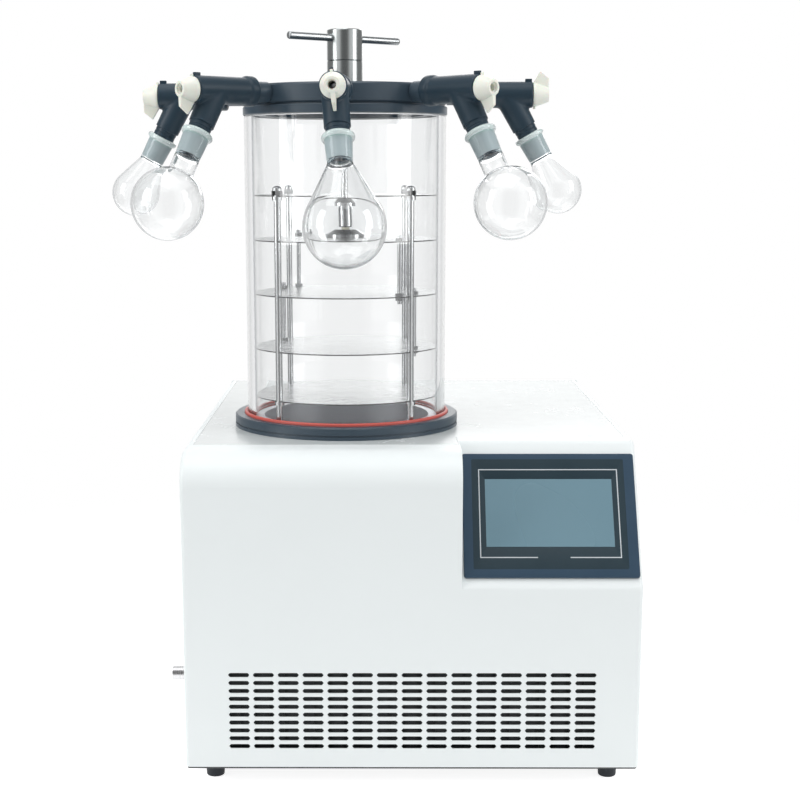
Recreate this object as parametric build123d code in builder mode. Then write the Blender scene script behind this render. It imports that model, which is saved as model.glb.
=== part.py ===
from build123d import *
import os
from math import acos, asin, atan2, cos, hypot, pi, radians, sin

os.makedirs("parts", exist_ok=True)

# A bench-top freeze dryer: a sheet metal cabinet with a cold trap in its top, a clear drying
# chamber that stands on the trap, a shelf rack with a screw press, and a manifold lid whose
# rubber valves hold glass flasks. Millimetres, +Z up, floor at Z = 0, front towards -Y.

# Cabinet
cabinet_width = 480.0
cabinet_depth = 580.0
cabinet_top = 360.0
cabinet_x = 47.4  # centres the whole outline, flasks included, on the origin
cabinet_front = -266.4
sheet = 1.5
edge_radius = 5.0
roll_radius = 34.0  # rolled top edge of the front, left of the console
console_split = 51.5  # from the middle of the cabinet to the left end of the slanted console
knee_height = 219.4
console_run = 86.0
knee_radius = 8.0
fold_radius = 6.0
front_rim = 22.0  # flat strip of the front panel before the top plate
left_plate_front = 62.0
side_strip = 7.5
front_return = 24.0
hem = 6.0
seam = 0.4
panel_gap = 0.3

# Base
foot_height = 21.0
foot_radius = 11.0
foot_inset_side = 27.5
foot_inset_front = 41.0
foot_taper = 4.0
foot_edge = 1.5
pan_thickness = 3.0
pan_inset = 2.0
pan_chamfer = 1.5
pan_flange = 12.0

# Front air inlet
slot_columns = 15
slot_rows = 10
slot_length = 21.8
slot_height = 4.8
slot_corner = 1.6
slot_column_pitch = 26.0
slot_row_pitch = 8.7
slot_middle_height = 86.2

# Operator screen, placed on the slanted console
bezel_side_gap = 5.5  # panel left bare beside the bezel, both sides together
bezel_end_gap = 26.8
bezel_left_shift = 0.55
bezel_drop = 2.8
bezel_thickness = 4.0
bezel_corner = 3.0
bezel_lip = 1.0
bezel_edge = 1.0
display_side_room = 48.5  # bezel left round the display, both sides together
display_end_room = 62.4
display_left_shift = 0.4
display_rise = 2.1
display_border = 5.0
pocket_gap = 0.2
display_thickness = 2.6
board_thickness = 1.6
board_standoff = 10.0
board_overlap = 18.0
standoff_radius = 3.0
standoff_inset = 12.0
standoff_outset = 6.0

# Top plate and cold trap
plate_thickness = 3.0
chamber_from_left = 167.7  # chamber axis from the left side of the cabinet
chamber_offset_y = 211.2  # chamber axis behind the front
ledge_width = 12.0
trap_inset = 13.0  # trap's wall inside the chamber's wall
trap_wall = 1.5
trap_floor_height = 180.0
trap_flange_width = 9.0
trap_corner = 12.0
jacket_thickness = 3.0
insulation_thickness = 28.0
insulation_floor = 14.0
trap_fit = 0.3

# Base ring, gasket and clear chamber
base_ring_margin = 10.5
base_ring_height = 14.0
base_ring_chamfer = 1.5
ring_groove_depth = 1.2
ring_groove_width = 2.0
ring_groove_height = 3.5
gasket_proud = 3.9  # gasket's edge outside the chamber
gasket_thickness = 3.0
gasket_lip = 3.0
chamber_radius = 113.0
chamber_wall = 6.0
chamber_height = 331.9

# Lid
lid_seal_height = 3.0
lid_seal_proud = 1.0
lid_overhang = 1.0
lid_flange_height = 9.1
lid_step_height = 1.5
lid_step_width = 3.5
lid_chamfer = 0.8
manifold_setback = 1.0
manifold_height = 21.0
manifold_top_wall = 6.5
manifold_side_wall = 24.0
manifold_chamfer = 2.0
boss_radius = 24.0

# Handle and press screw
hub_radius = 19.8
bush_height = 28.0
bush_spigot_radius = 12.0
bush_spigot_length = 12.0
hub_height = 33.6
hub_joint = 0.3
hub_chamfer = 1.0
bar_radius = 3.5
bar_length = 152.0
bar_turn = 38.0
bar_drop = 9.3  # bar's middle below the top of the hub
screw_radius = 4.5
screw_grip = 18.0
running_gap = 0.06

# Shelf rack, with the heights of the shelves' top faces above the base ring
shelf_clearance = 4.0
shelf_thickness = 1.2
shelf_heights = [246.2, 197.2, 137.6, 76.7, 22.5]
guide_radius = 3.5
guide_inset = 2.6  # rods' circle inside the shelves' edge
guide_turn = 45.8
guide_collar_radius = 5.0
guide_collar_height = 4.0
guide_rise = 9.0
guide_gap = 0.3
nut_radius = 5.5
nut_height = 5.0
hanger_radius = 2.5
hanger_tail = 7.0
hanger_nut_radius = 4.5
hanger_nut_height = 3.5
upper_hanger_inset = 5.0
upper_hanger_turn = -53.13
lower_hanger_inset = 15.54
lower_hanger_turn = -30.96

# Screw press
collar_radius = 14.0
collar_neck_wall = 4.5
collar_height = 10.0
collar_cone = 6.0
sleeve_wall = 4.0
sleeve_length = 24.7
sleeve_floor = 4.0
pad_radius = 5.0
pad_height = 3.0
foot_plate_radius = 25.0
foot_plate_height = 9.8
foot_plate_edge = 4.0

# Ports and valves
port_angles = [-92.0, -47.0, -2.0, 43.0, 88.0]  # 0 faces the front, + turns to the right
port_twists = [0.0, 0.0, 5.5, 0.0, 0.0]
port_rise = 0.9  # ports above the middle of the manifold
stub_radius = 11.0
spigot_radius = 8.0
stub_bore = 7.0
stub_depth = 21.0  # into the manifold's side wall
stub_reach = 37.0  # out of it
stub_fit = 0.1
collar_gap = 11.0
collar_length = 12.0
collar_proud = 1.7
valve_wall = 3.3
valve_length = 84.4
knob_bore_depth = 48.4
stem_length = 36.4
stem_wall = 4.8  # rubber round the knob's stem
branch_setback = 25.4  # branch behind the valve's open end
branch_tilt = 25.5
branch_edge = 1.0
branch_radius = 12.75
branch_end_radius = 12.25
branch_length = 42.0
step_depth = 1.25
step_taper = 0.3
branch_bore = 6.0
lug_length = 7.5
lug_width = 4.0
lug_height = 3.0

# Valve knobs
knob_gap = 0.3
knob_disc_inset = 1.3
knob_disc_height = 3.0
knob_nose_radius = 8.0
knob_length = 17.7
knob_hole = 5.75
fin_thickness = 4.5
fin_tip_reach = 25.5
fin_tip_axial = 9.8
fin_front_reach = 17.5
nub_width = 3.0
nub_reach = 15.5
knob_directions = [-1, -1, -1, -1, 1]  # -1: fin hangs down, 1: fin stands up

# Ground glass joints and flasks, measured along the branch from the valve's axis
joint_start = 51.0
joint_length = 29.0
joint_bore_top = 12.1
joint_taper = 0.05  # radius lost for each millimetre, the standard 1:10 on diameter
joint_fit = 0.15
joint_foot_wall = 1.95
lip_proud = 2.65
lip_height = 6.0
glass_wall = 1.5
neck_step = 0.4
flask_kinds = ["small_pear", "round", "pear", "round", "small_pear"]
bulb_radius = {"small_pear": 26.9, "round": 38.6, "pear": 42.3}
bulb_middle = {"small_pear": 122.5, "round": 134.6, "pear": 146.0}

# Refrigeration and electrical pieces
compressor_radius = 74.0
compressor_height = 170.0
compressor_from_right = 122.0
compressor_from_rear = 150.0
compressor_dome = 30.0
compressor_plate = 170.0
compressor_plate_height = 6.0
condenser_side_room = 44.0
condenser_height = 118.0
condenser_thickness = 26.0
condenser_setback = 14.0
condenser_fins = 24
condenser_groove = 4.0
condenser_groove_depth = 3.0
fan_frame_size = 116.0
fan_frame_thickness = 26.0
fan_opening = 53.0
fan_blade_radius = 50.0
fan_hub_radius = 20.0
fan_hub_height = 16.0
fan_blades = 7
fan_blade_thickness = 2.0
fan_blade_chord = 15.0
fan_blade_pitch = 35.0
fan_shaft_radius = 3.0
fan_spoke_width = 5.0
fan_spoke_thickness = 4.0
fan_motor_radius = 19.0
supply_width = 90.0
supply_depth = 190.0
supply_height = 65.0
supply_from_left = 80.0
supply_from_rear = 130.0

# Side and rear fittings
drain_x_length = 17.0
drain_radius = 7.5
drain_behind_front = 45.0
drain_height = 113.0
drain_bore = 3.5
drain_washer_radius = 11.0
drain_washer = 2.0
drain_nut = 5.0
vacuum_height = 252.0
vacuum_tube_radius = 14.5
vacuum_bore = 12.5
vacuum_flange_radius = 20.0
vacuum_length = 30.0
vacuum_flange_thickness = 3.0
vacuum_cone = 4.0
inlet_from_right = 90.0
inlet_height = 90.0
inlet_width = 48.0
inlet_tall = 28.0
inlet_plate_thickness = 2.5
inlet_margin = 7.0
inlet_body_depth = 28.0
inlet_wall = 2.5
inlet_blade = 2.0
inlet_blade_pitch = 7.0
rear_slot_length = 60.0
rear_slot_height = 5.0
rear_slot_columns = 3
rear_slot_rows = 8
rear_slot_column_pitch = 75.0
rear_slot_row_pitch = 12.0
rear_slot_middle = 170.0
rear_slot_from_right = 150.0

# Places worked out from the sizes
cabinet_left = cabinet_x - cabinet_width / 2
cabinet_right = cabinet_x + cabinet_width / 2
cabinet_rear = cabinet_front + cabinet_depth
panel_bottom = foot_height + pan_thickness
split_x = cabinet_x + console_split
console_rise = cabinet_top - knee_height
console_length = hypot(console_run, console_rise)
console_width = cabinet_width / 2 - console_split
bezel_width = console_width - bezel_side_gap
bezel_length = console_length - bezel_end_gap
bezel_middle_x = console_split + console_width / 2 - bezel_left_shift
bezel_middle_s = console_length / 2 - bezel_drop
display_width = bezel_width - display_side_room
display_length = bezel_length - display_end_room
display_middle_x = bezel_middle_x - display_left_shift
display_middle_s = bezel_middle_s + display_rise
lean_y = console_run / console_length
lean_z = console_rise / console_length
left_rim_end = cabinet_front + left_plate_front
right_rim_end = cabinet_front + console_run + front_rim
rear_sheet_front = cabinet_rear - sheet
chamber_x = cabinet_left + chamber_from_left
chamber_y = cabinet_front + chamber_offset_y
chamber_bore = chamber_radius - chamber_wall
gasket_outer_radius = chamber_radius + gasket_proud
base_ring_radius = gasket_outer_radius + base_ring_margin
lid_flange_radius = chamber_radius + lid_overhang
lid_step_radius = lid_flange_radius - lid_step_width
manifold_radius = lid_flange_radius - manifold_setback
trap_radius = chamber_bore - trap_inset
shelf_radius = chamber_bore - shelf_clearance
ring_top = cabinet_top + base_ring_height
chamber_bottom = ring_top
chamber_top = chamber_bottom + chamber_height
lid_bottom = chamber_top + lid_seal_proud
manifold_bottom = lid_bottom + lid_flange_height + lid_step_height
manifold_top = manifold_bottom + manifold_height
port_height = manifold_bottom + manifold_height / 2 + port_rise
hub_bottom = manifold_top + bush_height
hub_top = hub_bottom + hub_height
stub_start = manifold_radius - stub_depth
stub_end = manifold_radius + stub_reach
collar_start = manifold_radius + collar_gap
collar_end = collar_start + collar_length
valve_end = collar_start + valve_length
valve_radius = stub_radius + valve_wall
valve_collar_radius = valve_radius + collar_proud
knob_bore_start = valve_end - knob_bore_depth
stem_start = valve_end - stem_length
stem_radius = valve_radius - stem_wall
branch_root = valve_end - branch_setback
step_radius = branch_end_radius - step_depth
step_end_radius = step_radius - step_taper
knob_disc_radius = valve_radius - knob_disc_inset
joint_end = joint_start + joint_length
joint_bore_bottom = joint_bore_top - joint_taper * joint_length
joint_outer_top = joint_bore_top + glass_wall
joint_outer_bottom = joint_bore_bottom + joint_foot_wall
lip_radius = joint_outer_top + lip_proud
neck_start = joint_end + glass_wall
neck_radius = joint_outer_bottom + neck_step
screw_bore = screw_radius + running_gap
collar_neck_radius = screw_radius + collar_neck_wall
sleeve_radius = screw_radius + sleeve_wall
condenser_width = cabinet_width - 2 * condenser_side_room
trap_outer = trap_radius + trap_wall
trap_rim_top = ring_top - gasket_thickness + trap_wall
shelf_levels = [ring_top + height for height in shelf_heights]
rear_joint_plane = cabinet_rear - sheet - seam

chamber_axis = Axis((chamber_x, chamber_y, 0), (0, 0, 1))
turning_plane = Plane(origin=(chamber_x, chamber_y, 0), x_dir=(1, 0, 0), z_dir=(0, -1, 0))
console_plane = Plane(
    origin=(cabinet_x, cabinet_front, knee_height),
    x_dir=(1, 0, 0),
    z_dir=(0, -lean_z, lean_y),
)
console_axis = Axis(console_plane.origin, console_plane.z_dir)


def chamber_plane(height):
    # level plane whose origin is on the chamber's axis
    return Plane(origin=(chamber_x, chamber_y, height))


def cabinet_form(inset, bottom, rear):
    # solid outline of the cabinet with every wall moved in by inset
    front = cabinet_front + inset
    top = cabinet_top - inset
    left = cabinet_left + inset
    right = cabinet_right - inset
    split = split_x - inset
    line_y = cabinet_front + inset * lean_z
    line_z = knee_height - inset * lean_y
    knee = line_z + (front - line_y) / lean_y * lean_z
    fold = line_y + (top - line_z) / lean_z * lean_y
    with BuildPart() as form:
        with BuildSketch(Plane.YZ.offset(left)):
            with BuildLine():
                FilletPolyline((front, bottom), (front, top), (rear, top), radius=roll_radius - inset)
                Polyline((rear, top), (rear, bottom), (front, bottom))
            make_face()
        extrude(amount=split - left)
        with BuildSketch(Plane.YZ.offset(split)):
            with BuildLine():
                FilletPolyline(
                    (front, bottom),
                    (front, knee),
                    (fold, top),
                    (rear, top),
                    radius=[knee_radius - inset, fold_radius - inset],
                )
                Polyline((rear, top), (rear, bottom), (front, bottom))
            make_face()
        extrude(amount=right - split)
        left_edges = form.faces().sort_by(Axis.X)[0].edges()
        right_edges = form.faces().sort_by(Axis.X)[-1].edges()
        inner_part = cabinet_front + cabinet_depth / 2
        long_edges = [
            edge
            for edge in left_edges + right_edges
            if edge.center().Z > bottom + sheet and edge.center().Y < inner_part + sheet
        ]
        fillet(long_edges, radius=edge_radius - inset)
    return form.part


def front_zone(gap):
    # room of the front panel: the front wall with its side returns and the rim before the plate
    margin = sheet
    back = cabinet_front + front_return + gap
    hem_bottom = cabinet_top - hem - gap
    hem_back = back + (hem_bottom - knee_height) / lean_z * lean_y
    low = panel_bottom - margin
    high = cabinet_top + margin
    front = cabinet_front - margin
    with BuildPart() as zone:
        with BuildSketch(Plane.YZ.offset(cabinet_left - margin)):
            Polygon(
                (front, low),
                (back, low),
                (back, hem_bottom),
                (left_rim_end + gap, hem_bottom),
                (left_rim_end + gap, high),
                (front, high),
                align=None,
            )
        extrude(amount=split_x + margin - cabinet_left)
        with BuildSketch(Plane.YZ.offset(split_x - margin)):
            Polygon(
                (front, low),
                (back, low),
                (back, knee_height),
                (hem_back, hem_bottom),
                (right_rim_end + gap, hem_bottom),
                (right_rim_end + gap, high),
                (front, high),
                align=None,
            )
        extrude(amount=cabinet_right + 2 * margin - split_x)
    return zone.part


# ------------------------------------------------------------------------------ cabinet
outer_form = cabinet_form(0, panel_bottom, rear_joint_plane)
inner_form = cabinet_form(sheet, panel_bottom - sheet, cabinet_rear)

with BuildPart() as skin:
    add(outer_form)
    add(inner_form, mode=Mode.SUBTRACT)

half_slot = slot_length / 2
half_rise = slot_height / 2
slot_outline = [
    (-half_slot, -half_rise + slot_corner),
    (-half_slot + slot_corner, -half_rise),
    (half_slot - slot_corner, -half_rise),
    (half_slot, -half_rise + slot_corner),
    (half_slot, half_rise - slot_corner),
    (half_slot - slot_corner, half_rise),
    (-half_slot + slot_corner, half_rise),
    (-half_slot, half_rise - slot_corner),
]
inlet_plane = Plane(
    origin=(cabinet_x, cabinet_front, slot_middle_height), x_dir=(1, 0, 0), z_dir=(0, -1, 0)
)

# Front panel: front wall, slanted console, rolled edge, rim and air inlet in one folded sheet
with BuildPart() as front_panel:
    add(skin.part)
    add(front_zone(0), mode=Mode.INTERSECT)
    with BuildSketch(inlet_plane):
        with GridLocations(slot_column_pitch, slot_row_pitch, slot_columns, slot_rows):
            Polygon(*slot_outline)
    extrude(amount=-2 * sheet, mode=Mode.SUBTRACT)
    with BuildSketch(console_plane):
        with Locations((display_middle_x, display_middle_s)):
            Rectangle(display_width - 2 * display_border, display_length - 2 * display_border)
    extrude(amount=-2 * sheet, mode=Mode.SUBTRACT)
front_panel.part.label = "front_panel"
export_step(front_panel.part, "parts/front_panel.step")

ledge_bottom = cabinet_top - plate_thickness - panel_gap - sheet
plate_rear = rear_joint_plane

# Left side panel, with the strip beside the top plate and the ledge that carries the plate
with BuildPart() as left_side_panel:
    add(skin.part)
    add(front_zone(seam), mode=Mode.SUBTRACT)
    with BuildSketch(Plane.XY.offset(panel_bottom)):
        with Locations((cabinet_left + side_strip / 2, (cabinet_front + cabinet_rear) / 2)):
            Rectangle(side_strip, cabinet_depth)
    extrude(amount=cabinet_top, mode=Mode.INTERSECT)
    with BuildSketch(Plane.XY.offset(ledge_bottom)):
        with Locations((cabinet_left + sheet, right_rim_end)):
            Rectangle(ledge_width, plate_rear - right_rim_end, align=(Align.MIN, Align.MIN))
    extrude(amount=sheet)
    drain_y = cabinet_front + drain_behind_front
    with BuildSketch(Plane(origin=(cabinet_left, drain_y, drain_height), z_dir=(-1, 0, 0))):
        Circle(drain_radius + panel_gap)
    extrude(amount=-2 * sheet, mode=Mode.SUBTRACT)
left_side_panel.part.label = "left_side_panel"
export_step(left_side_panel.part, "parts/left_side_panel.step")

# Right side panel, the mirror of the left one behind the deeper console
with BuildPart() as right_side_panel:
    add(skin.part)
    add(front_zone(seam), mode=Mode.SUBTRACT)
    with BuildSketch(Plane.XY.offset(panel_bottom)):
        with Locations((cabinet_right - side_strip / 2, (cabinet_front + cabinet_rear) / 2)):
            Rectangle(side_strip, cabinet_depth)
    extrude(amount=cabinet_top, mode=Mode.INTERSECT)
    with BuildSketch(Plane.XY.offset(ledge_bottom)):
        with Locations((cabinet_right - sheet, right_rim_end)):
            Rectangle(ledge_width, plate_rear - right_rim_end, align=(Align.MAX, Align.MIN))
    extrude(amount=sheet)
right_side_panel.part.label = "right_side_panel"
export_step(right_side_panel.part, "parts/right_side_panel.step")

# Top plate with its stepped front edge and the opening for the cold trap
plate_left = cabinet_left + side_strip + panel_gap
plate_right = cabinet_right - side_strip - panel_gap
with BuildPart() as top_plate:
    with BuildSketch(Plane.XY.offset(cabinet_top - plate_thickness)):
        Polygon(
            (plate_left, left_rim_end + seam),
            (split_x - sheet - seam, left_rim_end + seam),
            (split_x - sheet - seam, right_rim_end + seam),
            (plate_right, right_rim_end + seam),
            (plate_right, plate_rear),
            (plate_left, plate_rear),
            align=None,
        )
        with Locations((chamber_x, chamber_y)):
            Circle(trap_outer + jacket_thickness, mode=Mode.SUBTRACT)
    extrude(amount=plate_thickness)
top_plate.part.label = "top_plate"
export_step(top_plate.part, "parts/top_plate.step")

# Rear panel with air outlet slots and holes for the vacuum port and the power inlet
rear_plane = Plane(origin=(cabinet_x, cabinet_rear, 0), x_dir=(-1, 0, 0), z_dir=(0, 1, 0))
rear_slot_x = cabinet_width / 2 - rear_slot_from_right
inlet_x = cabinet_width / 2 - inlet_from_right
with BuildPart() as rear_panel:
    with BuildSketch(rear_plane):
        with Locations((0, (panel_bottom + cabinet_top) / 2)):
            RectangleRounded(cabinet_width, cabinet_top - panel_bottom, sheet)
        with Locations((-rear_slot_x, rear_slot_middle)):
            with GridLocations(
                rear_slot_column_pitch, rear_slot_row_pitch, rear_slot_columns, rear_slot_rows
            ):
                Rectangle(rear_slot_length, rear_slot_height, mode=Mode.SUBTRACT)
        with Locations((cabinet_x - chamber_x, vacuum_height)):
            Circle(vacuum_tube_radius + panel_gap, mode=Mode.SUBTRACT)
        with Locations((-inlet_x, inlet_height)):
            Rectangle(inlet_width + panel_gap, inlet_tall + panel_gap, mode=Mode.SUBTRACT)
    extrude(amount=-sheet)
rear_panel.part.label = "rear_panel"
export_step(rear_panel.part, "parts/rear_panel.step")

# Base pan: flat tray with an upstanding flange inside the panels
pan_left = cabinet_left + pan_inset
pan_width = cabinet_width - 2 * pan_inset
pan_depth = cabinet_depth - 2 * pan_inset
pan_middle_y = (cabinet_front + cabinet_rear) / 2
flange_width = cabinet_width - 2 * sheet - 2 * panel_gap
flange_depth = cabinet_depth - 2 * sheet - 2 * panel_gap
with BuildPart() as base_pan:
    with BuildSketch(Plane.XY.offset(foot_height)):
        with Locations((cabinet_x, pan_middle_y)):
            Rectangle(pan_width, pan_depth)
    extrude(amount=pan_thickness)
    chamfer(base_pan.faces().sort_by(Axis.Z)[0].edges(), length=pan_chamfer)
    with BuildSketch(Plane.XY.offset(panel_bottom)):
        with Locations((cabinet_x, pan_middle_y)):
            RectangleRounded(flange_width, flange_depth, edge_radius)
            RectangleRounded(
                flange_width - 2 * sheet,
                flange_depth - 2 * sheet,
                edge_radius - sheet,
                mode=Mode.SUBTRACT,
            )
    extrude(amount=pan_flange)
base_pan.part.label = "base_pan"
export_step(base_pan.part, "parts/base_pan.step")

# Four rubber feet, tapered to the floor
foot_spread_x = cabinet_width - 2 * foot_inset_side
foot_spread_y = cabinet_depth - 2 * foot_inset_front
with BuildPart() as rubber_feet:
    with BuildSketch(Plane.XY.offset(foot_height)):
        with Locations((cabinet_x, pan_middle_y)):
            with GridLocations(foot_spread_x, foot_spread_y, 2, 2):
                Circle(foot_radius)
    extrude(amount=-foot_height, taper=foot_taper)
    fillet(rubber_feet.faces().group_by(Axis.Z)[0].edges(), radius=foot_edge)
rubber_feet.part.label = "rubber_feet"
export_step(rubber_feet.part, "parts/rubber_feet.step")

# ------------------------------------------------------------------------------ screen
# Bezel with a pocket for the display behind its lip
with BuildPart() as screen_bezel:
    with BuildSketch(console_plane):
        with Locations((bezel_middle_x, bezel_middle_s)):
            RectangleRounded(bezel_width, bezel_length, bezel_corner)
    extrude(amount=bezel_thickness)
    bezel_face = screen_bezel.faces().sort_by(console_axis)[-1]
    chamfer(bezel_face.edges(), length=bezel_edge)
    with BuildSketch(console_plane):
        with Locations((display_middle_x, display_middle_s)):
            Rectangle(display_width + 2 * display_border, display_length + 2 * display_border)
    extrude(amount=bezel_thickness - bezel_lip, mode=Mode.SUBTRACT)
    with BuildSketch(console_plane):
        with Locations((display_middle_x, display_middle_s)):
            Rectangle(display_width, display_length)
    extrude(amount=bezel_thickness, mode=Mode.SUBTRACT)
screen_bezel.part.label = "screen_bezel"
export_step(screen_bezel.part, "parts/screen_bezel.step")

display_back = bezel_thickness - bezel_lip - display_thickness - pocket_gap
with BuildPart() as touch_panel:
    with BuildSketch(console_plane.offset(display_back)):
        with Locations((display_middle_x, display_middle_s)):
            Rectangle(
                display_width + 2 * display_border - 2 * pocket_gap,
                display_length + 2 * display_border - 2 * pocket_gap,
            )
    extrude(amount=display_thickness)
touch_panel.part.label = "touch_panel"
export_step(touch_panel.part, "parts/touch_panel.step")

# Control board on four standoffs behind the console
board_width = display_width + 2 * display_border
board_length = display_length + 2 * display_border
with BuildPart() as control_board:
    with BuildSketch(console_plane.offset(-sheet)):
        with Locations((display_middle_x, display_middle_s)):
            with GridLocations(
                board_width - standoff_inset, board_length + standoff_outset, 2, 2
            ):
                Circle(standoff_radius)
    extrude(amount=-board_standoff)
    with BuildSketch(console_plane.offset(-sheet - board_standoff)):
        with Locations((display_middle_x, display_middle_s)):
            Rectangle(board_width, board_length + board_overlap)
    extrude(amount=-board_thickness)
control_board.part.label = "control_board"
export_step(control_board.part, "parts/control_board.step")

# ------------------------------------------------------------------------------ cold trap
flange_radius = trap_outer + trap_flange_width
rim_bottom = trap_rim_top - trap_wall
with BuildPart() as cold_trap_pot:
    with BuildSketch(turning_plane):
        with BuildLine():
            outside = FilletPolyline(
                (0, trap_floor_height),
                (trap_outer, trap_floor_height),
                (trap_outer, rim_bottom),
                (flange_radius, rim_bottom),
                (flange_radius, trap_rim_top),
                (trap_radius, trap_rim_top),
                (trap_radius, trap_floor_height + trap_wall),
                (0, trap_floor_height + trap_wall),
                radius=[trap_corner + trap_wall] + 3 * [trap_wall / 4] + [trap_wall / 2, trap_corner],
            )
            Line(outside @ 1, outside @ 0)
        make_face()
    revolve(axis=chamber_axis)
cold_trap_pot.part.label = "cold_trap_pot"
export_step(cold_trap_pot.part, "parts/cold_trap_pot.step")

# Evaporator jacket wrapped round the pot
jacket_bottom = trap_floor_height + trap_corner
jacket_top = cabinet_top - plate_thickness - trap_corner
jacket_inner = trap_outer + trap_fit
with BuildPart() as evaporator_jacket:
    with BuildSketch(chamber_plane(jacket_bottom)):
        Circle(jacket_inner + jacket_thickness)
        Circle(jacket_inner, mode=Mode.SUBTRACT)
    extrude(amount=jacket_top - jacket_bottom)
evaporator_jacket.part.label = "evaporator_jacket"
export_step(evaporator_jacket.part, "parts/evaporator_jacket.step")

# Foam block round the jacket, with a floor under the pot
foam_inner = jacket_inner + jacket_thickness + trap_fit
foam_outer = foam_inner + insulation_thickness
foam_top = cabinet_top - plate_thickness - panel_gap
foam_bottom = trap_floor_height - trap_fit - insulation_floor
with BuildPart() as trap_insulation:
    with BuildSketch(chamber_plane(foam_bottom)):
        Circle(foam_outer)
    extrude(amount=foam_top - foam_bottom)
    with BuildSketch(chamber_plane(trap_floor_height - trap_fit)):
        Circle(foam_inner)
    extrude(amount=foam_top, mode=Mode.SUBTRACT)
trap_insulation.part.label = "trap_insulation"
export_step(trap_insulation.part, "parts/trap_insulation.step")

# ------------------------------------------------------------------------------ chamber
gasket_seat = ring_top - gasket_thickness
groove_low = cabinet_top + ring_groove_height
with BuildPart() as base_ring:
    with BuildSketch(turning_plane):
        with BuildLine():
            Polyline(
                (trap_outer + trap_fit, cabinet_top),
                (base_ring_radius, cabinet_top),
                (base_ring_radius, groove_low),
                (base_ring_radius - ring_groove_depth, groove_low),
                (base_ring_radius - ring_groove_depth, groove_low + ring_groove_width),
                (base_ring_radius, groove_low + ring_groove_width),
                (base_ring_radius, ring_top - base_ring_chamfer),
                (base_ring_radius - base_ring_chamfer, ring_top),
                (gasket_outer_radius + panel_gap, ring_top),
                (gasket_outer_radius + panel_gap, gasket_seat),
                (trap_outer + trap_fit + base_ring_chamfer, gasket_seat),
                (trap_outer + trap_fit, gasket_seat - base_ring_chamfer),
                close=True,
            )
        make_face()
    revolve(axis=chamber_axis)
base_ring.part.label = "base_ring"
export_step(base_ring.part, "parts/base_ring.step")

# Gasket: flat under the cylinder, with a round lip outside it
lip_inner = chamber_radius + panel_gap
lip_middle = (lip_inner + gasket_outer_radius) / 2
lip_half = (gasket_outer_radius - lip_inner) / 2
gasket_start = flange_radius + panel_gap
lip_shoulder = ring_top + gasket_lip - lip_half
with BuildPart() as chamber_gasket:
    with BuildSketch(turning_plane):
        with BuildLine():
            Polyline(
                (lip_inner, lip_shoulder),
                (lip_inner, ring_top),
                (gasket_start, ring_top),
                (gasket_start, gasket_seat),
                (gasket_outer_radius, gasket_seat),
                (gasket_outer_radius, lip_shoulder),
            )
            ThreePointArc(
                (gasket_outer_radius, lip_shoulder),
                (lip_middle, ring_top + gasket_lip),
                (lip_inner, lip_shoulder),
            )
        make_face()
    revolve(axis=chamber_axis)
chamber_gasket.part.label = "chamber_gasket"
export_step(chamber_gasket.part, "parts/chamber_gasket.step")

with BuildPart() as chamber_cylinder:
    with BuildSketch(chamber_plane(chamber_bottom)):
        Circle(chamber_radius)
        Circle(chamber_bore, mode=Mode.SUBTRACT)
    extrude(amount=chamber_height)
chamber_cylinder.part.label = "chamber_cylinder"
export_step(chamber_cylinder.part, "parts/chamber_cylinder.step")

# ------------------------------------------------------------------------------ lid
seal_inner = chamber_bore - lid_seal_proud
seal_outer = chamber_radius - lid_seal_proud
with BuildPart() as lid_seal:
    with BuildSketch(chamber_plane(chamber_top)):
        Circle(seal_outer)
        Circle(seal_inner, mode=Mode.SUBTRACT)
    extrude(amount=lid_seal_height)
lid_seal.part.label = "lid_seal"
export_step(lid_seal.part, "parts/lid_seal.step")

plenum_radius = manifold_radius - manifold_side_wall
seal_roof = chamber_top + lid_seal_height
flange_top = lid_bottom + lid_flange_height
with BuildPart() as lid_flange:
    with BuildSketch(turning_plane):
        with BuildLine():
            Polyline(
                (plenum_radius, lid_bottom),
                (seal_inner - panel_gap, lid_bottom),
                (seal_inner - panel_gap, seal_roof),
                (seal_outer + panel_gap, seal_roof),
                (seal_outer + panel_gap, lid_bottom),
                (lid_flange_radius - lid_chamfer, lid_bottom),
                (lid_flange_radius, lid_bottom + lid_chamfer),
                (lid_flange_radius, flange_top - lid_chamfer),
                (lid_flange_radius - lid_chamfer, flange_top),
                (lid_step_radius, flange_top),
                (lid_step_radius, manifold_bottom),
                (plenum_radius, manifold_bottom),
                close=True,
            )
        make_face()
    revolve(axis=chamber_axis)
lid_flange.part.label = "lid_flange"
export_step(lid_flange.part, "parts/lid_flange.step")


def port_frame(number):
    # plane that holds the port's axis: local x points outwards, local y up
    angle = radians(port_angles[number])
    twist = radians(port_twists[number])
    out = Vector(sin(angle), -cos(angle), 0)
    level = out.cross(Vector(0, 0, 1))
    up = Vector(0, 0, 1) * cos(twist) + level * sin(twist)
    return Plane(origin=(chamber_x, chamber_y, port_height), x_dir=out, z_dir=out.cross(up))


def across(frame, distance):
    # plane square to the frame's local x axis, at a distance along it
    return Plane(origin=frame.origin + frame.x_dir * distance, x_dir=frame.y_dir, z_dir=frame.x_dir)


def branch_frame(frame):
    # plane of the valve's branch: local x runs down the branch
    tilt = radians(branch_tilt)
    along = frame.x_dir * sin(tilt) - frame.y_dir * cos(tilt)
    return Plane(origin=frame.origin + frame.x_dir * branch_root, x_dir=along, z_dir=frame.z_dir)


ports = range(len(port_angles))

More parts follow.
